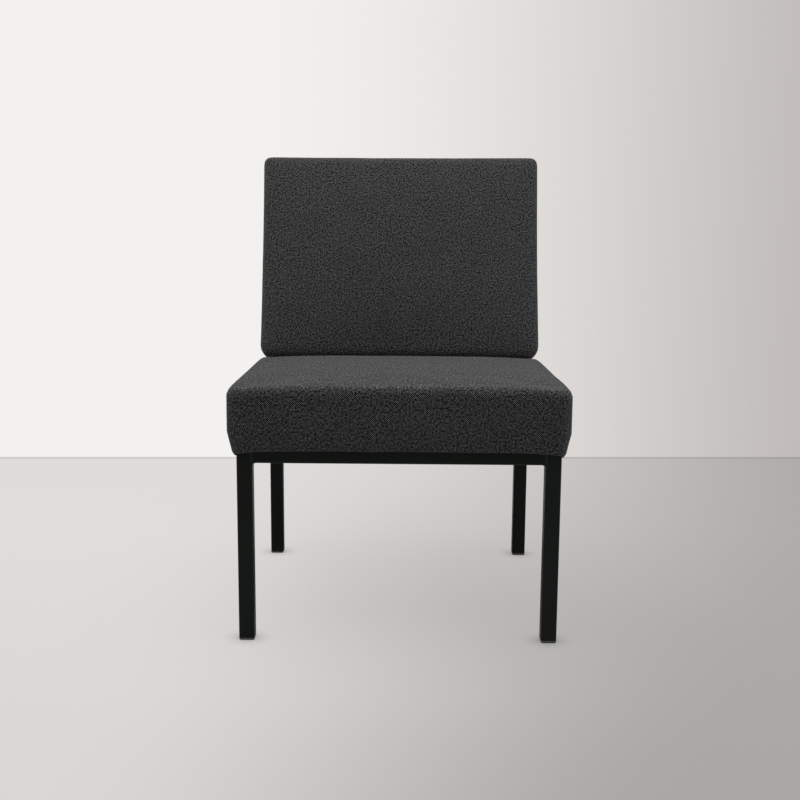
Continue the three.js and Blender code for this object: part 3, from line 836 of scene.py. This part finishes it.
def cushion_mesh(name, form):
    """A closed cushion skin of near-square cells. Its map lays the twill out in metres, and runs
    without a break from the face over each side to darts at the corners."""
    count_x = round(form.width / CLOTH_CELL)
    count_y = round(form.length / CLOTH_CELL)
    xs = np.linspace(-form.width / 2, form.width / 2, count_x + 1)
    ys = np.linspace(-form.length / 2, form.length / 2, count_y + 1)
    grid_x, grid_y = np.meshgrid(xs, ys, indexing="ij")
    face = face_points(form, grid_x.ravel(), grid_y.ravel())
    face_index = np.arange(len(face)).reshape(count_x + 1, count_y + 1)

    loop_i = np.array([*range(count_x), *[count_x] * count_y, *range(count_x, 0, -1), *[0] * count_y])
    loop_j = np.array([*[0] * count_x, *range(count_y), *[count_y] * count_x, *range(count_y, 0, -1)])
    ways = [(0, -1)] * count_x + [(1, 0)] * count_y + [(0, 1)] * count_x + [(-1, 0)] * count_y
    rings, hem_ring = side_rings(form, xs[loop_i], ys[loop_j])
    ring_index = [face_index[loop_i, loop_j]]
    for number in range(len(rings)):
        ring_index.append(np.arange(len(ways)) + len(face) + number * len(ways))

    floor_index = np.full_like(face_index, -1)
    floor_index[loop_i, loop_j] = ring_index[-1]
    inner = floor_index < 0
    floor_x, floor_y = grid_x[inner], grid_y[inner]
    near = np.minimum(form.width / 2 - np.abs(floor_x), form.length / 2 - np.abs(floor_y))
    reach = min(form.width, form.length) / 2
    px, py = on_ring(form, floor_x, floor_y, near, form.hem_inset + near * (1 - form.hem_inset / reach))
    floor_index[inner] = len(face) + len(rings) * len(ways) + np.arange(len(floor_x))
    points = np.concatenate([face, *rings, np.stack([px, py, np.zeros_like(px)], -1)])

    map_x = cloth_distance(form, xs, form.width / 2)
    map_y = cloth_distance(form, ys, form.length / 2)
    ring_points = np.stack([points[index] for index in ring_index])
    lengths = np.linalg.norm(np.diff(ring_points, axis=0), axis=2).mean(1)
    descent = np.concatenate([[0.0], np.cumsum(lengths)])
    cells = (
        grid_cells(face_index, map_x, map_y, ((0, 0), (1, 0), (1, 1), (0, 1))),
        side_cells(ring_index, descent, map_x[loop_i], map_y[loop_j], ways),
        grid_cells(floor_index, map_x, map_y, ((0, 0), (0, 1), (1, 1), (1, 0))),
    )
    faces = [[int(corner) for corner in cell] for part, _ in cells for cell in part]
    mesh = smooth_mesh(name, points.tolist(), faces)
    lay_twill(mesh, [place for _, part in cells for place in part])

    marks = {label: np.zeros(len(points)) for label in ("seam", "hem", "under", "held")}
    corner_columns = [0, count_x, count_x + count_y, count_x * 2 + count_y]
    for index in ring_index[2 : hem_ring + 1]:
        marks["seam"][index[corner_columns]] = 1
    marks["hem"][ring_index[hem_ring]] = 1
    marks["under"][floor_index[inner]] = near > TURN_UNDER
    for index in (*ring_index[hem_ring - 1 :], floor_index[inner]):
        marks["held"][index] = 1
    for label, values in marks.items():
        attribute = mesh.attributes.new(label, "FLOAT", "POINT")
        attribute.data.foreach_set("value", values.astype(np.float32))
    return mesh


def shrunk(mesh, distance):
    """The free part of the skin starts smaller, because the simulation swells it."""
    held = marks_of(mesh, "held")
    set_points(mesh, points_of(mesh) - normals_of(mesh) * (distance * (1 - held))[:, None])


def simulated_swell(piece):
    """Air pressure under the cloth, with the hem held. The foam keeps any point from going inwards,
    and none moves out further than the limit."""
    mesh = piece.data
    start = points_of(mesh)
    held = marks_of(mesh, "held")
    group = piece.vertex_groups.new(name="held")
    group.add([int(i) for i in np.nonzero(held > 0.5)[0]], 1.0, "REPLACE")
    cloth = piece.modifiers.new("cloth", "CLOTH")
    set_all(cloth.settings, **CLOTH_SETTINGS, vertex_group_mass="held")
    cloth.settings.effector_weights.gravity = 0
    cloth.collision_settings.use_collision = False
    set_all(cloth.point_cache, frame_start=1, frame_end=SIMULATED_FRAMES)
    scene = bpy.context.scene
    for number in range(1, SIMULATED_FRAMES + 1):
        scene.frame_set(number)
    evaluated = piece.evaluated_get(bpy.context.evaluated_depsgraph_get())
    moved = points_of(evaluated.data) - start
    piece.modifiers.remove(cloth)
    piece.vertex_groups.clear()
    scene.frame_set(1)
    normals = normals_of(mesh)
    outward = (moved * normals).sum(1)
    set_points(mesh, start + normals * np.clip(outward, 0, SWELL_LIMIT)[:, None])


def subdivided(piece):
    set_all(piece.modifiers.new("finer", "SUBSURF"), levels=1, render_levels=1)
    apply_modifiers(piece)


def uneven(mesh):
    """Slight unevenness of the wadding under the cloth."""
    points = points_of(mesh)
    broad, small = (
        np.array([noise.noise(Vector(point) * rate) for point in points])
        for rate in (BROAD_RATE, SMALL_RATE)
    )
    set_points(mesh, points + normals_of(mesh) * (UNEVENNESS * (broad + SMALL_SHARE * small))[:, None])


def is_level(edge):
    """The edge runs round the cushion rather than through its thickness."""
    run = edge.verts[1].co - edge.verts[0].co
    return abs(run.z / max(run.length, 1e-9)) < 0.5


def sewn_corners(mesh):
    """Cuts the cells beside each corner dart into narrow ones and sinks the seam between them."""
    build = bmesh.new()
    build.from_mesh(mesh)
    seam = build.verts.layers.float["seam"]
    seam_verts = {v for v in build.verts if v[seam] > 0.9}
    rungs = []
    for vert in seam_verts:
        for edge in vert.link_edges:
            if edge.other_vert(vert) not in seam_verts and is_level(edge):
                rungs.append(edge)
    bmesh.ops.subdivide_edges(build, edges=list(set(rungs)), cuts=SEAM_CUTS, use_grid_fill=True)
    build.normal_update()
    for vert in build.verts:
        if vert in seam_verts:
            vert.co -= vert.normal * SEAM_DEPTH
        elif 0 < vert[seam] < 1:
            vert[seam] = max(vert[seam] * 2 - 1, 0) ** 2
            vert.co -= vert.normal * SEAM_DEPTH * SEAM_SHOULDER * vert[seam]
    build.to_mesh(mesh)
    build.free()


def open_underneath(mesh):
    """Takes away what the cloth turned under the board doesn't reach."""
    build = bmesh.new()
    build.from_mesh(mesh)
    under = build.verts.layers.float["under"]
    gone = [f for f in build.faces if all(v[under] > 0.5 for v in f.verts)]
    bmesh.ops.delete(build, geom=gone, context="FACES")
    build.to_mesh(mesh)
    build.free()


def shell(piece, thickness):
    solid = piece.modifiers.new("thickness", "SOLIDIFY")
    set_all(solid, thickness=thickness, offset=-1, use_rim=True)
    apply_modifiers(piece)


def make_cover(name, form, place):
    """One sewn cloth cover, swelled by its foam and stapled under its board. Gives back its plain
    skin, for the foam to be fitted into."""
    mesh = cushion_mesh(name, form)
    skin_points = [place @ vert.co for vert in mesh.vertices]
    skin = BVHTree.FromPolygons(skin_points, [tuple(face.vertices) for face in mesh.polygons])
    piece = add_mesh(name, mesh, "upholstery")
    shrunk(mesh, SWELL_START)
    simulated_swell(piece)
    subdivided(piece)
    uneven(piece.data)
    sewn_corners(piece.data)
    open_underneath(piece.data)
    shell(piece, COVER_THICKNESS)
    place_mesh(piece, place)
    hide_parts(name.replace("wool_", ""))
    return skin


def fitted(skin, point):
    """The point, moved inwards where the cloth would touch it."""
    for _ in range(3):
        spot, normal, _, _ = skin.find_nearest(point)
        point = point - normal * max((point - spot).dot(normal) + FOAM_CLEARANCE, 0)
    return point


def make_foam(name, node, skin):
    """The foam block, its cut edges softened and clear of the cloth round it."""
    piece = add_mesh(name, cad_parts[node].data.copy(), "foam")
    set_all(piece.modifiers.new("cells", "REMESH"), mode="VOXEL", voxel_size=FOAM_CELL)
    set_all(piece.modifiers.new("soft", "SMOOTH"), factor=0.5, iterations=3)
    apply_modifiers(piece)
    smaller = points_of(piece.data) - normals_of(piece.data) * FOAM_SHRINK
    set_points(piece.data, [fitted(skin, Vector(point)) for point in smaller])
    piece.data.shade_smooth()
    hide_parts(node)


seat_skin = make_cover("wool_seat_cover", SEAT, seat_place)
back_skin = make_cover("wool_back_cover", BACK, back_place)
make_foam("cut_seat_foam", "seat_foam", seat_skin)
make_foam("cut_back_foam", "back_foam", back_skin)


def plug_place(node):
    """A tube end's middle, with Z pointing into the tube."""
    if "glide" in node:
        return Matrix.Translation((middle(node).x, middle(node).y, 0))
    low, high = local_box(node, leaning_place)
    centre = (low + high) / 2
    spot = Matrix.Translation((centre.x, high.y, centre.z))
    return leaning_place @ spot @ Matrix.Rotation(QUARTER, 4, "X")


def make_plug(node, foot):
    """A moulded insert: a rounded foot outside the tube, and a stem with barbs that grip inside it."""
    rounding = foot * 0.6
    stem = TUBE_WALL + PLUG_FIT
    barb = stem + BARB_HEIGHT
    tip = foot + PLUG_STEM
    outline = [(rounding * inset, rounding * z) for inset, z in PLUG_ROUNDING]
    outline += [(0, foot - 0.8 * MM), (0.25 * MM, foot - 0.3 * MM), (0.9 * MM, foot), (barb, foot)]
    for number in range(BARB_COUNT):
        start = foot + BARB_PITCH * number + 2 * MM
        outline += [
            (barb, start),
            (stem, start + BARB_PITCH * 0.6),
            (stem, start + BARB_PITCH * 0.7),
            (barb, start + BARB_PITCH * 0.72),
        ]
    outline += [(barb, tip - MM), (barb + MM, tip)]
    rings = []
    for inset, z in outline:
        half = TUBE_SIDE / 2 - inset
        radius = max(TUBE_CORNER - inset, 0.5 * MM)
        rings.append(rounded_ring(half, half, radius, radius, z))
    piece = add_lofted("moulded_" + node, "black_plastic", [(plug_place(node), lofted(rings))])
    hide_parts(node)


for corner in ("front_left", "front_right", "rear_left", "rear_right"):
    make_plug(corner + "_glide", glide_top)
for side in ("left", "right"):
    plug_low, plug_high = local_box(side + "_upright_plug", leaning_place)
    make_plug(side + "_upright_plug", plug_high.y - plug_low.y - PLUG_STEM)


def add_turned(prefix, node, place, profile, round_trip=False):
    """A turned steel piece instead of the node. The profile gives radii and heights, which start at
    the node's lowest Z."""
    low, high = local_box(node, place)
    centre = (low + high) / 2
    spot = place @ Matrix.Translation((centre.x, centre.y, low.z))
    rings = [circle(radius, z) for radius, z in profile]
    piece = add_lofted(prefix + node, "zinc_steel", [(spot, lofted(rings, round_trip))])
    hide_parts(node)


def hex_radius(angle):
    """Distance from the socket's axis to its hexagonal wall."""
    sixth = math.pi / 3
    return HEX_APOTHEM / math.cos((angle + sixth / 2) % sixth - sixth / 2)


def make_screw(node, place):
    """A domed screw with a hexagon socket. Z runs from the head to the tip."""
    low, high = local_box(node, place)
    length = high.z - low.z
    head = SCREW_HEAD_HEIGHT
    wide = SCREW_HEAD_RADIUS
    add_turned("domed_", node, place, (
        (0.4 * MM, head * 0.66),
        (hex_radius, head * 0.6),
        (hex_radius, 0.2 * MM),
        (lambda angle: hex_radius(angle) + 0.3 * MM, 0),
        (wide * 0.6, 0.15 * MM),
        (wide * 0.84, head * 0.28),
        (wide * 0.97, head * 0.62),
        (wide, head * 0.85),
        (wide * 0.96, head),
        (SCREW_RADIUS + 0.3 * MM, head),
        (SCREW_RADIUS, head + 0.3 * MM),
        (SCREW_RADIUS, length - MM),
        (SCREW_RADIUS * 0.75, length),
    ))


def make_washer(node, place):
    """A flat ring with rounded edges."""
    low, high = local_box(node, place)
    thickness = high.z - low.z
    outer = (high.x - low.x) / 2
    inner = SCREW_RADIUS + HOLE_CLEARANCE
    edge = 0.25 * MM
    near = [(inner, edge), (inner + edge, 0), (outer - edge, 0), (outer, edge)]
    far = [(radius, thickness - z) for radius, z in reversed(near)]
    add_turned("turned_", node, place, near + far, round_trip=True)


for part, place, spots in (
    ("seat", Matrix.Identity(4), ("front_left", "front_right", "rear_left", "rear_right")),
    ("back", leaning_place, ("lower_left", "lower_right", "upper_left", "upper_right")),
):
    for spot in spots:
        make_screw(f"{part}_screw_{spot}", place)
        make_washer(f"{part}_washer_{spot}", place)


# Sections of the welds in millimetres. A corner weld fills the angle between Y and Z, and a groove
# weld the gap beside a rounded edge.
CORNER_WELD = (
    (-2.5, -2.5), (5.0, -2.5), (5.0, -0.1), (3.0, 0.45),
    (1.5, 1.5), (0.45, 3.0), (-0.1, 5.0), (-2.5, 5.0),
)
GROOVE_WELD = ((-1.8, -0.3), (0.0, -2.6), (3.6, -0.3), (2.6, 0.12), (0.6, 0.22), (-1.0, 0.12))
CORNER_WELD_LENGTH = TUBE_SIDE - 0.6 * MM
GROOVE_WELD_LENGTH = TUBE_SIDE - 2 * TUBE_CORNER


def bead(outline, length, taper, steps=14):
    """A weld bead along X from -length/2 to length/2, with soft ripples, and smaller at its ends. The
    outline is in Y and Z."""
    rings = []
    for step in range(steps + 1):
        share = step / steps
        size = 1 - taper * abs(2 * share - 1) ** 8 + 0.04 * math.sin(step * 2.4)
        x = (share - 0.5) * length
        rings.append([(x, y * MM * size, z * MM * size) for y, z in outline])
    return lofted(rings)


def weld_spot(point, y_axis, z_axis):
    turn = Matrix((y_axis.cross(z_axis), y_axis, z_axis)).transposed()
    return Matrix.Translation(point) @ turn.to_4x4()


def rail_welds():
    """Each rail end has a bead under it, and a ground one in the groove at its outer face."""
    parts = []
    down = Vector((0, 0, -1))
    for rail, axis in (("front_rail", 0), ("rear_rail", 0), ("left_side_rail", 1), ("right_side_rail", 1)):
        low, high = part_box(rail)
        centre = (low + high) / 2
        for end in (-1, 1):
            inward = Vector((0, 0, 0))
            inward[axis] = -end
            outward = Vector((0, 0, 0))
            outward[1 - axis] = math.copysign(1, centre[1 - axis])
            corner = centre.copy()
            corner[axis] = (high if end > 0 else low)[axis]
            under = Vector((corner.x, corner.y, low.z))
            face = corner + outward * TUBE_SIDE / 2
            parts.append((weld_spot(under, inward, down), bead(CORNER_WELD, CORNER_WELD_LENGTH, 0.1)))
            parts.append((weld_spot(face, -inward, outward), bead(GROOVE_WELD, GROOVE_WELD_LENGTH, 0.65)))
    return parts


def mitre_welds():
    """A low bead all round each joint between a rear leg and its leaning upright."""
    parts = []
    slope = math.tan(lean / 2)
    half = TUBE_SIDE / 2
    for side in ("left", "right"):
        centre = Vector((middle(side + "_upright_plug").x, hinge.y, hinge.z))
        rings = []
        for x, y, _ in rounded_ring(half, half, TUBE_CORNER, TUBE_CORNER, steps=5):
            radial = Vector((x, y, 0)).normalized()
            ripple = 1 + 0.08 * noise.noise((x * 900, y * 900, 0))
            ring = []
            for i in range(8):
                angle = math.tau * i / 8
                out = radial * (MITRE_BEAD * 0.5 * ripple * math.cos(angle) - 0.1 * MM)
                up = MITRE_BEAD * ripple * math.sin(angle)
                ring.append((x + out.x, y + out.y, -y * slope + up))
            rings.append(ring)
        parts.append((Matrix.Translation(centre), lofted(rings, round_trip=True)))
    return parts


add_lofted("frame_welds", "frame_paint", rail_welds() + mitre_welds(), painted_weld)


def sheet_lines(size):
    """Grid lines across a sheet: even cells, with narrow ones at both rims."""
    rim = [0, 0.5 * MM, 1.2 * MM, 3 * MM]
    inner = np.linspace(6 * MM, size - 6 * MM, round(size / CLOTH_CELL))
    return np.concatenate([rim, inner, size - np.array(rim[::-1])]) - size / 2


def sheet_mesh(name, form, thickness, bulge_at):
    """A thin closed sheet with round corners and rolled rims. bulge_at says how far it stands out
    towards Z, from its points' places and distance from the rim."""
    xs, ys = sheet_lines(form.width), sheet_lines(form.length)
    grid_x, grid_y = (grid.ravel() for grid in np.meshgrid(xs, ys, indexing="ij"))
    near = np.minimum(form.width / 2 - np.abs(grid_x), form.length / 2 - np.abs(grid_y))
    px, py = on_ring(form, grid_x, grid_y, near, near)
    half = thickness / 2 * np.sqrt(1 - np.clip(1 - near / (thickness * 0.7), 0, 1) ** 2)
    bulge = bulge_at(px, py, near)
    upper = np.stack([px, py, bulge + half], -1)
    lower = np.stack([px, py, bulge - half], -1)
    rim = near < 1e-9
    lower_index = np.where(rim, np.arange(len(px)), len(px) + np.cumsum(~rim) - 1)
    points = np.concatenate([upper, lower[~rim]])
    faces = []
    columns = len(ys)
    for i in range(len(xs) - 1):
        for j in range(columns - 1):
            first = i * columns + j
            across = first + columns
            cell = [first, across, across + 1, first + 1]
            faces.append(cell)
            faces.append([int(lower_index[c]) for c in reversed(cell)])
    mesh = smooth_mesh(name, points.tolist(), faces)
    corners = read(mesh.loops, "vertex_index", 1, np.int32)[:, 0]
    lay_twill(mesh, points[corners][:, :2])
    return mesh


def make_rear_panel():
    """The cloth that closes the back behind: its edges are turned in and sewn to the cover by hand."""
    low, high = local_box("back_rear_panel", leaning_place)
    near_radius = BACK.near_radius - PANEL_EDGE
    far_radius = BACK.far_radius - PANEL_EDGE
    form = flat_form(low, high, near_radius=near_radius, far_radius=far_radius)

    def bulge_at(x, y, near):
        """Stands out between the uprights, slightly wavy, and puckered by each stitch."""
        between = np.clip(1 - (x / PANEL_FREE_HALF) ** 2, 0, 1)
        cushioned = np.clip(near / (30 * MM), 0, 1)
        waver = waves(x, y, 16, 3)
        pucker = np.cos(y * math.tau / STITCH_PITCH) * np.exp(-near / (3 * MM))
        return -(1.6 * between * cushioned + 0.35 * waver * cushioned * between) * MM + 0.12 * MM * pucker

    mesh = sheet_mesh("wool_rear_panel", form, high.z - low.z, bulge_at)
    piece = add_mesh("wool_rear_panel", mesh, "upholstery")
    place = leaning_place @ Matrix.Translation((low + high) / 2)
    place_mesh(piece, place)
    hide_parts("back_rear_panel")
    return form, place


def stitch(spot, along):
    """A short arch of thread across the panel's rim, slanting along it."""
    outward = along.cross(Vector((0, 0, 1)))
    rings = []
    for step in range(7):
        angle = math.pi * step / 6
        reach = outward * math.cos(angle) * STITCH_REACH + along * (step - 3) * 0.25 * MM
        centre = spot + reach + Vector((0, 0, -math.sin(angle) * STITCH_RISE))
        ring = circle(THREAD_RADIUS, 0, sides=6)
        rings.append([centre + Vector((0, 0, y)) + along * x for x, y, _ in ring])
    return lofted(rings)


def ladder_stitches(form, place):
    """Short threads over the panel's rim, all the way round."""
    parts = []
    radii = (form.near_radius, form.far_radius)
    rim = rounded_ring(form.width / 2, form.length / 2, *radii, inset=0.2 * MM)
    corners = [Vector(point) for point in rim]
    for start, end in zip(corners, corners[1:] + corners[:1]):
        run = end - start
        if run.length > STITCH_PITCH:
            count = round(run.length / STITCH_PITCH)
            for i in range(count):
                parts.append((place, stitch(start + run * ((i + 0.5) / count), run.normalized())))
    add_lofted("rear_panel_stitches", "upholstery", parts, sewing_thread)


ladder_stitches(*make_rear_panel())


def make_dust_cover():
    """Black backing cloth under the seat: hemmed, pulled flat by staples and slack between them."""
    low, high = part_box("seat_dust_cover")
    form = flat_form(low, high, near_radius=3 * MM, far_radius=3 * MM)

    def bulge_at(x, y, near):
        """Hangs slack in the middle, with creases, a step at the hem and a pull at each staple."""
        slack = np.clip(near / (40 * MM), 0, 1)
        crease = waves(x, y, 30, 7)
        folded = np.clip((near - DUST_HEM) / (1.5 * MM), 0, 1)
        along = np.where(form.width / 2 - np.abs(x) < form.length / 2 - np.abs(y), y, x)
        staples = np.cos(along * math.tau / STAPLE_PITCH)
        pull = staples * np.exp(-near / (18 * MM)) * np.clip(near / (8 * MM), 0, 1)
        return (-1.6 * slack - 0.5 * crease * slack + 0.45 * folded + 0.5 * pull) * MM

    mesh = sheet_mesh("hemmed_dust_cover", form, high.z - low.z, bulge_at)
    piece = add_mesh("hemmed_dust_cover", mesh, "backing_cloth")
    place = Matrix.Translation((low + high) / 2)
    place_mesh(piece, place)
    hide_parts("seat_dust_cover")
    return form, place


def staple():
    """A wire bent down at both ends, with short legs that go up into the board."""
    half = STAPLE_CROWN / 2
    leg = 3 * MM
    bend = 0.7 * MM
    wide = 0.6 * MM
    thick = 0.3 * MM
    path = ((-half, leg), (-half, bend), (-half * 0.9, 0), (half * 0.9, 0), (half, bend), (half, leg))
    across = ((1, 0), (1, 0.25), (0.5, 1), (-0.5, 1), (-1, 0.25), (-1, 0))
    rings = []
    for x, z in path:
        out_x, out_z = ((x > 0) - (x < 0), 0) if z > 0 else (0, -1)
        ring = [(x + out_x * thick * rise, side * wide, z + out_z * thick * rise) for side, rise in across]
        rings.append(ring)
    return lofted(rings)


def staple_rows(form, place):
    """Flat wire staples along the hem, their crowns pressed into the cloth."""
    parts = []
    rim = (form.width / 2 - DUST_HEM / 2, form.length / 2 - DUST_HEM / 2)
    for axis in (0, 1):
        count = round(rim[axis] * 2 / STAPLE_PITCH)
        for sign in (-1, 1):
            for i in range(count):
                spot = Vector((0, 0, -0.6 * MM))
                spot[axis] = (i + 0.5 - count / 2) * STAPLE_PITCH
                spot[1 - axis] = sign * rim[1 - axis]
                turn = Matrix.Rotation(QUARTER * axis + 0.12 * math.sin(i * 3.1 + sign), 4, "Z")
                parts.append((place @ Matrix.Translation(spot) @ turn, staple()))
    add_lofted("dust_cover_staples", "zinc_steel", parts)


staple_rows(*make_dust_cover())


# Stage: a pale floor that meets a pale wall, with light that falls off to the right. Both are
# painted on one plane, round the spot below the photograph's viewpoint, and stay with the room.
WALL_Y = 1.094
WALL_SLOPE = 0.037
# A painted shadow band along the wall's foot fades in between these two distances before the wall.
WALL_FOOT_SHADOW = (WALL_Y - 0.026, WALL_Y - 0.02)
FLOOR_REACH = 40
FLOOR_SLANT = 0.6
WALL_TONES = ((243, 241, 239), (187, 182, 179))
FLOOR_TONES = ((221, 219, 217), (163, 159, 157))

# Each area light's name, place, aim, width, height and watts
LIGHTS = (
    ("overhead", (0, -0.35, 2.6), (0, -0.1, 0), 3.0, 2.4, 94),
    ("left", (-2.4, -0.5, 0.8), (0, 0, 0.4), 1.6, 1.6, 16),
    ("right", (2.4, -0.5, 0.8), (0, 0, 0.4), 1.6, 1.6, 20),
)
AMBIENT = 0.16


def backdrop_tone(s, place, low, high, tones):
    """Goes from the lit tone to the shaded one as the place goes from low to high."""
    factor = s.stretch(place, low, high, kind="SMOOTHSTEP")
    lit, shaded = ((*(linear(level) for level in tone), 1) for tone in tones)
    return s.blend(factor, lit, shaded, "RGBA")


def wall_tone(s, bearing):
    return backdrop_tone(s, bearing, -0.15, 0.46, WALL_TONES)


def make_floor():
    corners = [(x * FLOOR_REACH, y * FLOOR_REACH, 0) for x, y in ((-1, -1), (1, -1), (1, 1), (-1, 1))]
    mesh = smooth_mesh("floor", corners, [(0, 1, 2, 3)])
    s = new_material("studio_floor")
    mesh.materials.append(s.owner)
    x, y, _ = s.split(s.object_place())
    ahead = s.math("MAXIMUM", s.minus(y, CAMERA_PLACE.y), 0.3)
    bearing = s.math("DIVIDE", s.minus(x, CAMERA_PLACE.x), ahead)
    slant = s.add(bearing, s.math("DIVIDE", FLOOR_SLANT * CAMERA_PLACE.z, ahead))
    to_wall = s.minus(y, s.times(x, WALL_SLOPE))
    beyond = s.math("GREATER_THAN", to_wall, WALL_Y)
    floor_tone = backdrop_tone(s, slant, -0.015, 0.595, FLOOR_TONES)
    occlusion = s.node("ShaderNodeAmbientOcclusion", samples=8)
    occlusion.inputs["Distance"].default_value = 0.03
    # Painted shade on the floor: contact shadows from ambient occlusion, darker towards the near side, and
    # a shadow band along the wall's foot.
    shade = s.times(
        s.stretch(occlusion.outputs["AO"], 0.2, 1.0, 0.45, 0.9),
        s.stretch(ahead, 1.4, 2.4, 0.91, 1.0),
        s.stretch(to_wall, *WALL_FOOT_SHADOW, 1.0, 0.81),
    )
    tone = s.blend(beyond, floor_tone, wall_tone(s, bearing), "RGBA")
    # For the camera the floor glows with these tones and painted shadows, and reflects only a little
    # light.
    glow = s.made("ShaderNodeEmission", (tone, s.blend(beyond, shade, 1.0)))
    dull = s.made("ShaderNodeBsdfDiffuse", (s.grey(s.blend(beyond, 0.08, 0.0)),))
    bounce = s.made("ShaderNodeBsdfDiffuse", ((0.55, 0.55, 0.55, 1),))
    s.seen_as(bounce, s.made("ShaderNodeAddShader", (glow, dull)), "Material Output")
    add_object("floor", mesh)


def make_world():
    s = Shader(bpy.data.worlds.new("studio"))
    bpy.context.scene.world = s.owner
    x, y, _ = s.split(s.node("ShaderNodeTexCoord").outputs["Generated"])
    tone = wall_tone(s, s.math("DIVIDE", x, s.math("ABSOLUTE", y)))
    wall = s.made("ShaderNodeBackground", (tone, 1.0))
    dim = s.made("ShaderNodeBackground", ((1, 1, 1, 1), AMBIENT))
    s.seen_as(dim, wall, "World Output")


def make_light(name, place, aim, width, height, watts):
    light = bpy.data.lights.new(name, "AREA")
    set_all(light, shape="RECTANGLE", size=width, size_y=height, energy=watts)
    lamp = add_object(name, light)
    lamp.location = place
    lamp.rotation_euler = (Vector(aim) - Vector(place)).to_track_quat("-Z", "Y").to_euler()
    lamp.visible_camera = False


def make_camera():
    """The photograph's camera, from its pitch, yaw, roll and focal length in pixels."""
    forward = Vector((
        math.sin(CAMERA_YAW) * math.cos(CAMERA_PITCH),
        math.cos(CAMERA_YAW) * math.cos(CAMERA_PITCH),
        -math.sin(CAMERA_PITCH),
    ))
    right = Vector((math.cos(CAMERA_YAW), -math.sin(CAMERA_YAW), 0))
    down = forward.cross(right)
    rolled_right = math.cos(CAMERA_ROLL) * right + math.sin(CAMERA_ROLL) * down
    rolled_down = -math.sin(CAMERA_ROLL) * right + math.cos(CAMERA_ROLL) * down
    turn = Matrix((rolled_right, -rolled_down, -forward)).transposed()
    lens = bpy.data.cameras.new("camera")
    lens.sensor_fit = "HORIZONTAL"
    lens.sensor_width = SENSOR_WIDTH_MM
    lens.lens = FOCAL_LENGTH_PX / IMAGE_SIDE_PX * SENSOR_WIDTH_MM
    lens.shift_x = 0.5 - OPTICAL_CENTRE_X_PX / IMAGE_SIDE_PX
    camera = add_object("camera", lens)
    camera.matrix_world = Matrix.Translation(CAMERA_PLACE) @ turn.to_4x4()
    bpy.context.scene.camera = camera


make_floor()
make_world()
for light_facts in LIGHTS:
    make_light(*light_facts)
make_camera()
bpy.context.scene.view_settings.view_transform = "Standard"
